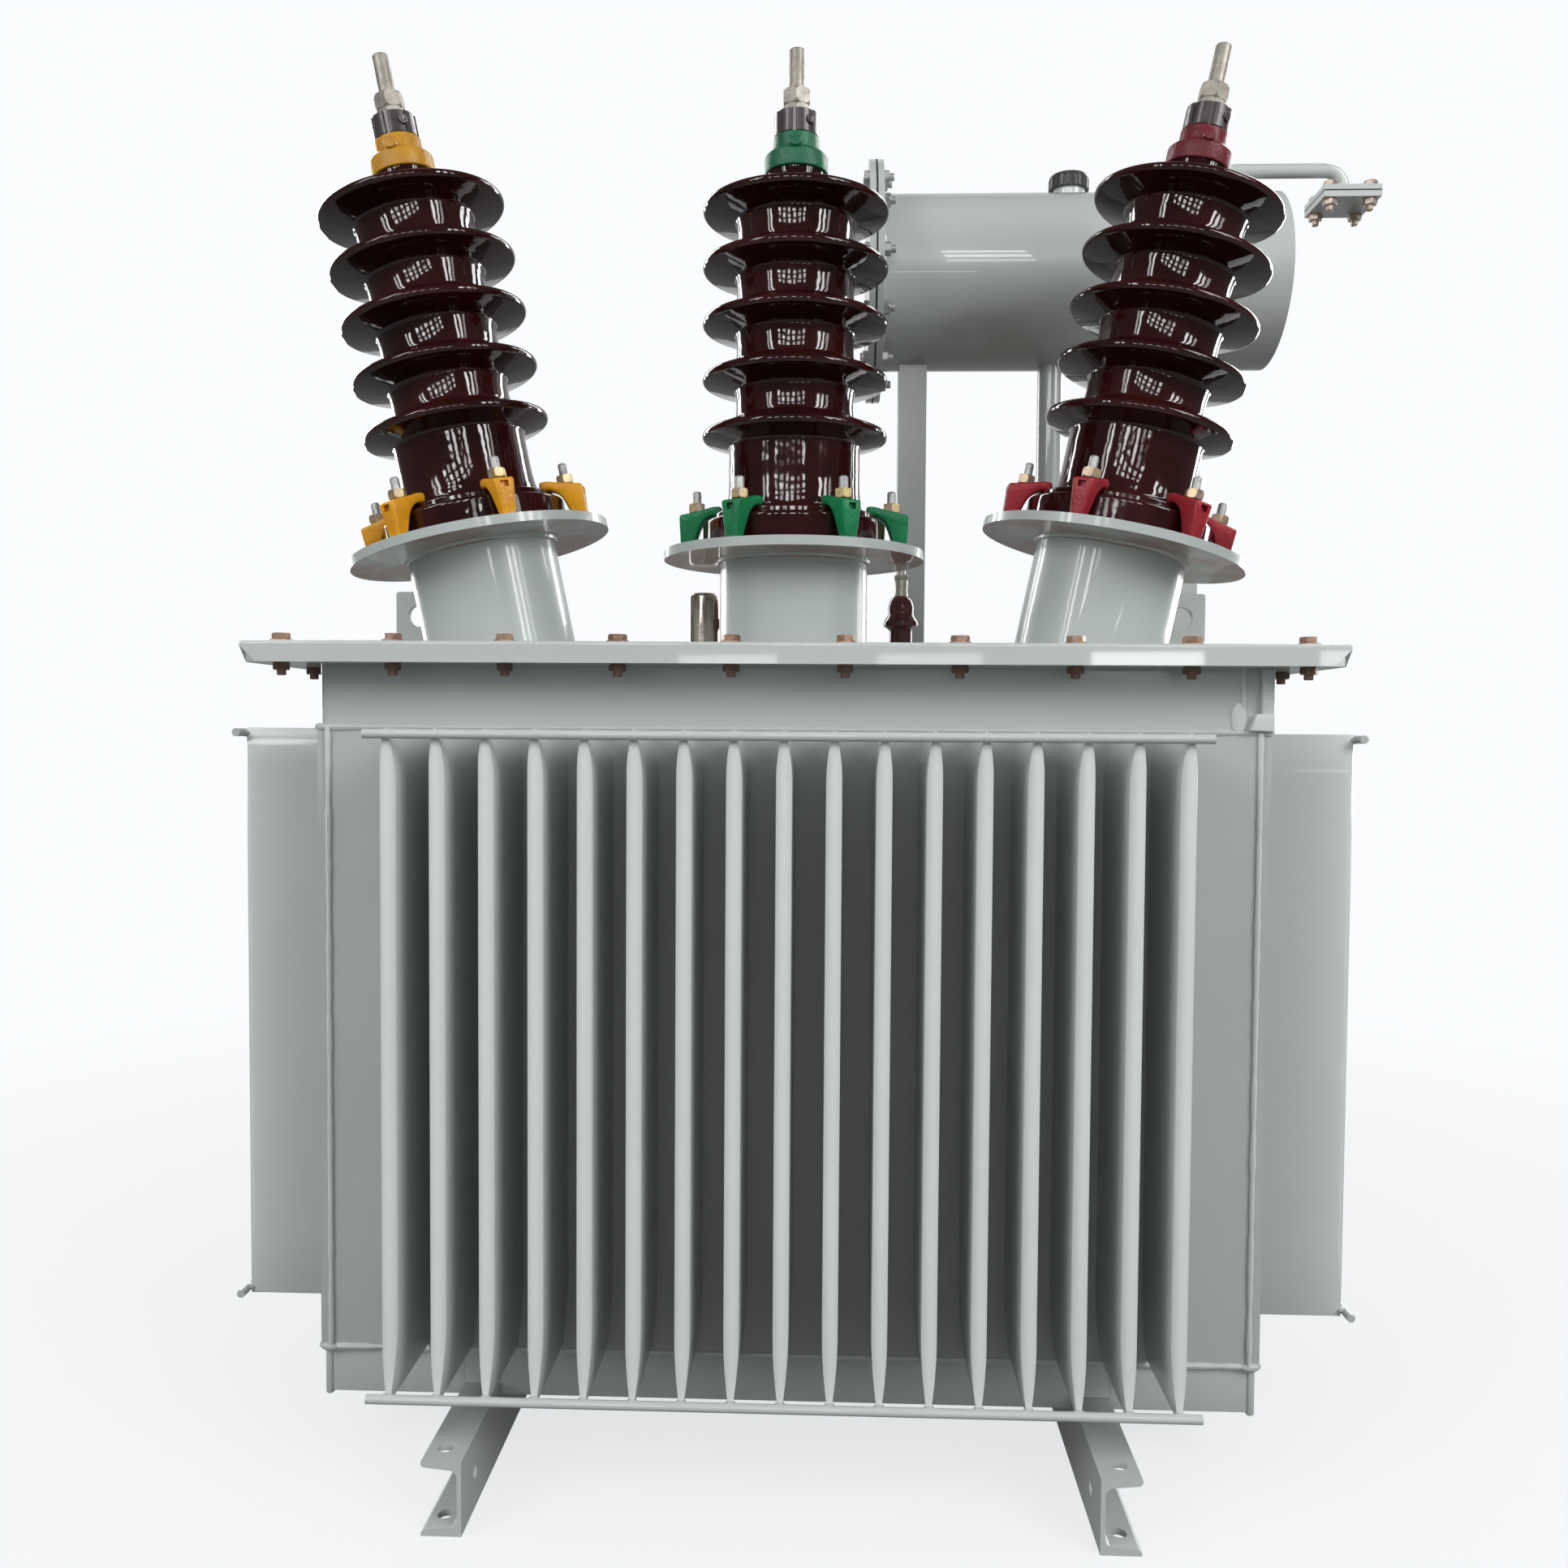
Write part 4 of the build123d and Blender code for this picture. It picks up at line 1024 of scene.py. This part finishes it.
# Low voltage bushings: a row of four small porcelains of the same glaze, painted lighter as a painted sheen,
# each with one shed and a domed top, a tinned barrel on it, and a nut and stud on the barrel.
row_low, row_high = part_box("low_voltage_bushings")
low_shed_radius = 0.024
low_pitch = 0.075
low_top = 0.090
low_stud_radius = 0.006
low_stud_top = 0.131
barrel_top = 0.1135
low_corners = [
    (0, 0, 0),
    (0.0165, 0, 0.001),
    (0.0155, 0.044, 0.003),
    (low_shed_radius, 0.0495, 0.0018),
    (low_shed_radius, 0.055, 0.0018),
    (0.0172, 0.066, 0.003),
    (0.0182, 0.076, 0.004),
    (0.0145, 0.087, 0.003),
    (0.0100, low_top, 0.001),
    (0, low_top, 0),
]
barrel_corners = [
    (0, low_top, 0),
    (0.0100, low_top, 0.001),
    (0.0086, 0.1005, 0.001),
    (0.0095, barrel_top, 0.001),
    (low_stud_radius, barrel_top, 0),
    (low_stud_radius, low_stud_top, 0.0012),
    (0, low_stud_top, 0),
]
low_start = row_low.x + low_shed_radius
row_middle = (row_low.y + row_high.y) / 2
low_spots = [low_start + place * low_pitch for place in range(4)]
low_places = [Matrix.Translation((spot, row_middle, row_low.z)) for spot in low_spots]
# The small porcelains' glaze is a lighter copy of the tall bushings' glaze: painted sheen.
low_sheen_shades = {"Deep": (0.075, 0.026, 0.021, 1), "Thin": (0.135, 0.052, 0.043, 1)}
low_sheen_glaze = surfaced("low_sheen_glaze", glaze_tree, low_sheen_shades, 0.0006, glaze_settings)
low_porcelain = repeated(turned(low_corners, 56), low_places)
place_piece(low_porcelain, "low_porcelains", low_sheen_glaze, ["low_voltage_bushings"])
low_barrel = joined([turned(barrel_corners, 40), bevelled_prism(0.0108, 0.006, 0.1137, 0.0020)])
bright_tin = plated("bright_tin", (0.60, 0.565, 0.51, 1), (0.70, 0.67, 0.62, 1), 0.42, 0.5)
low_barrels = repeated(low_barrel, low_places)
place_piece(low_barrels, "low_barrels", bright_tin, ["low_voltage_studs"])

# Conservator: a rolled drum with a welded flange and a flat bolted cover on its left end, carried on two
# angle posts and joined to the tank by the oil pipe.
drum_enamel = enamel("drum_enamel", 0.2, 0.35, dullness=0.015, polish=1.0)
dress(["conservator_shell", "conservator_flange", "conservator_cover"], drum_enamel)
dress(["oil_pipe", "filler_neck"], drum_enamel)
post_enamel = enamel("post_enamel", 0.2, 0.0, dullness=0.24)
dress(["conservator_posts"], post_enamel)
drum_low, drum_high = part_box("conservator_shell")
flange_low, flange_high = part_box("conservator_flange")
end_low, end_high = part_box("conservator_cover")
drum_centre = (drum_low + drum_high) / 2
lay_over = Matrix.Rotation(math.pi / 2, 4, "Y")
flange_bolt_circle = 0.144
flange_grip = flange_high.x - end_low.x
flange_bolt = joined([
    bevelled_prism(0.0098, 0.0068, -0.0068, 0.0020),
    bevelled_prism(0.0098, 0.0085, flange_grip, 0.0020),
    turned_rod(0.0052, flange_grip, flange_grip + 0.0155, 24, high_rounding=0.001),
])
flange_centre = Matrix.Translation((end_low.x, drum_centre.y, drum_centre.z))
flange_bolt_places = [
    flange_centre @ Matrix.Rotation(math.radians(30.0 * place), 4, "X")
    @ Matrix.Translation((0, 0, flange_bolt_circle)) @ lay_over
    for place in range(12)
]
place_piece(repeated(flange_bolt, flange_bolt_places), "flange_bolts", grey_zinc)
flange_radius = (end_high.z - end_low.z) / 2
seal_inside = 0.150
seal_outside = flange_radius + 0.0004
seal_half = 0.0012
seal_ring = turned_ring(seal_inside, seal_outside, -seal_half, seal_half)
seal_place = Matrix.Translation((flange_low.x, drum_centre.y, drum_centre.z)) @ lay_over
place_piece(repeated(seal_ring, [seal_place]), "flange_seal", gasket_rubber)
drum_radius = (drum_high.z - drum_low.z) / 2
drum_bead_radius = 0.0042
pipe_bead_radius = 0.0032
drum_bead_places = [Matrix.Translation((flange_high.x, drum_centre.y, drum_centre.z)) @ lay_over]
drum_bead = repeated(bead_ring(drum_radius, drum_bead_radius), drum_bead_places)
pipe_low, pipe_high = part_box("oil_pipe")


def foot_of(node):
    low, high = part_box(node)
    middle = (low + high) / 2
    return Matrix.Translation((middle.x, middle.y, low.z))


pipe_bead = bead_ring((pipe_high.x - pipe_low.x) / 2, pipe_bead_radius, 60)
pipe_bead = repeated(pipe_bead, [foot_of("oil_pipe")])
place_piece(joined([drum_bead, pipe_bead]), "drum_beads", drum_enamel)

# Filler cap: a moulded black plastic cap with a gripped rim and a slightly raised crown. It screws on the
# neck on top of the drum.
plastic_black = {"Colour": (0.020, 0.021, 0.024, 1)}
plastic_coat = {"Coat Weight": 0.4, "Coat Roughness": 0.2}
black_plastic = surfaced("black_plastic", rubber_tree, plastic_black, 0.0001, plastic_coat)
crown_corners = [
    (0, 0.0155, 0),
    (0.0284, 0.0155, 0),
    (0.0272, 0.0200, 0.002),
    (0.0180, 0.0230, 0.002),
    (0, 0.0230, 0),
]
grip = ribbed(0.0272, 0.0160, 60, 2, 1, 0.0016)
filler_shape = repeated(joined([grip, turned(crown_corners, 60)]), [foot_of("filler_cap")])
place_piece(filler_shape, "ribbed_filler_cap", black_plastic, ["filler_cap"])

# Breather pipe: a bent tube from the top of the drum to a square flange, closed for transport by a plate
# with a gasket and four bolts.
dress(["breather_pipe", "breather_blank_plate"], drum_enamel)
plate_low, plate_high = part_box("breather_blank_plate")
plate_middle = (plate_low + plate_high) / 2
stack_top = plate_high.z + 0.009
breather_bolt_reach = 0.028
dull_zinc = plated("dull_zinc", (0.44, 0.36, 0.29, 1), (0.52, 0.42, 0.37, 1), 0.36, 0.8)
breather_bolt = joined([
    bevelled_prism(0.0100, 0.0075, stack_top, 0.0020),
    bevelled_prism(0.0100, 0.0085, plate_low.z - 0.0085, 0.0020),
    turned_rod(0.005, plate_low.z - 0.016, plate_low.z, 24, low_rounding=0.001),
])
breather_bolt_places = []
for side, end in corner_signs:
    bolt_x = plate_middle.x + side * breather_bolt_reach
    bolt_y = plate_middle.y + end * breather_bolt_reach
    breather_bolt_places.append(Matrix.Translation((bolt_x, bolt_y, 0)))
place_piece(repeated(breather_bolt, breather_bolt_places), "breather_bolts", dull_zinc)

# Lifting lugs: two flame-cut steel plates with an eye, sprayed with the tank's enamel. They stand upright
# on the cover, welded along both faces.
dress(["left_lifting_lug", "right_lifting_lug"], plain_enamel)
lug_bead_radius = 0.0038
lug_bead_overrun = 0.002
lug_beads = []
for side in ("left", "right"):
    lug_low, lug_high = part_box(f"{side}_lifting_lug")
    for face in (lug_low.y, lug_high.y):
        lug_start = Vector((lug_low.x - lug_bead_overrun, face, lug_low.z))
        lug_end = Vector((lug_high.x + lug_bead_overrun, face, lug_low.z))
        lug_beads.append(bead_run(lug_start, lug_end, lug_bead_radius))
place_piece(joined(lug_beads), "lug_beads", plain_enamel)

# Relief cap: a drawn, nickel-plated cup with a rolled crown. It is pushed over the relief fitting on the
# cover and sits on a short wider foot.
relief_low, relief_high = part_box("relief_cap")
relief_height = relief_high.z - relief_low.z
relief_corners = [
    (0, 0, 0),
    (0.0225, 0, 0.0008),
    (0.0225, 0.007, 0.0008),
    (0.0216, 0.0085, 0.0008),
    (0.0216, relief_height, 0.006),
    (0, relief_height, 0),
]
nickel = plated("nickel_plate", (0.74, 0.66, 0.56, 1), (0.80, 0.73, 0.64, 1), 0.15, 0.85, 0.00001)
relief_shape = repeated(turned(relief_corners, 64), [foot_of("relief_cap")])
place_piece(relief_shape, "drawn_relief_cap", nickel, ["relief_cap"])
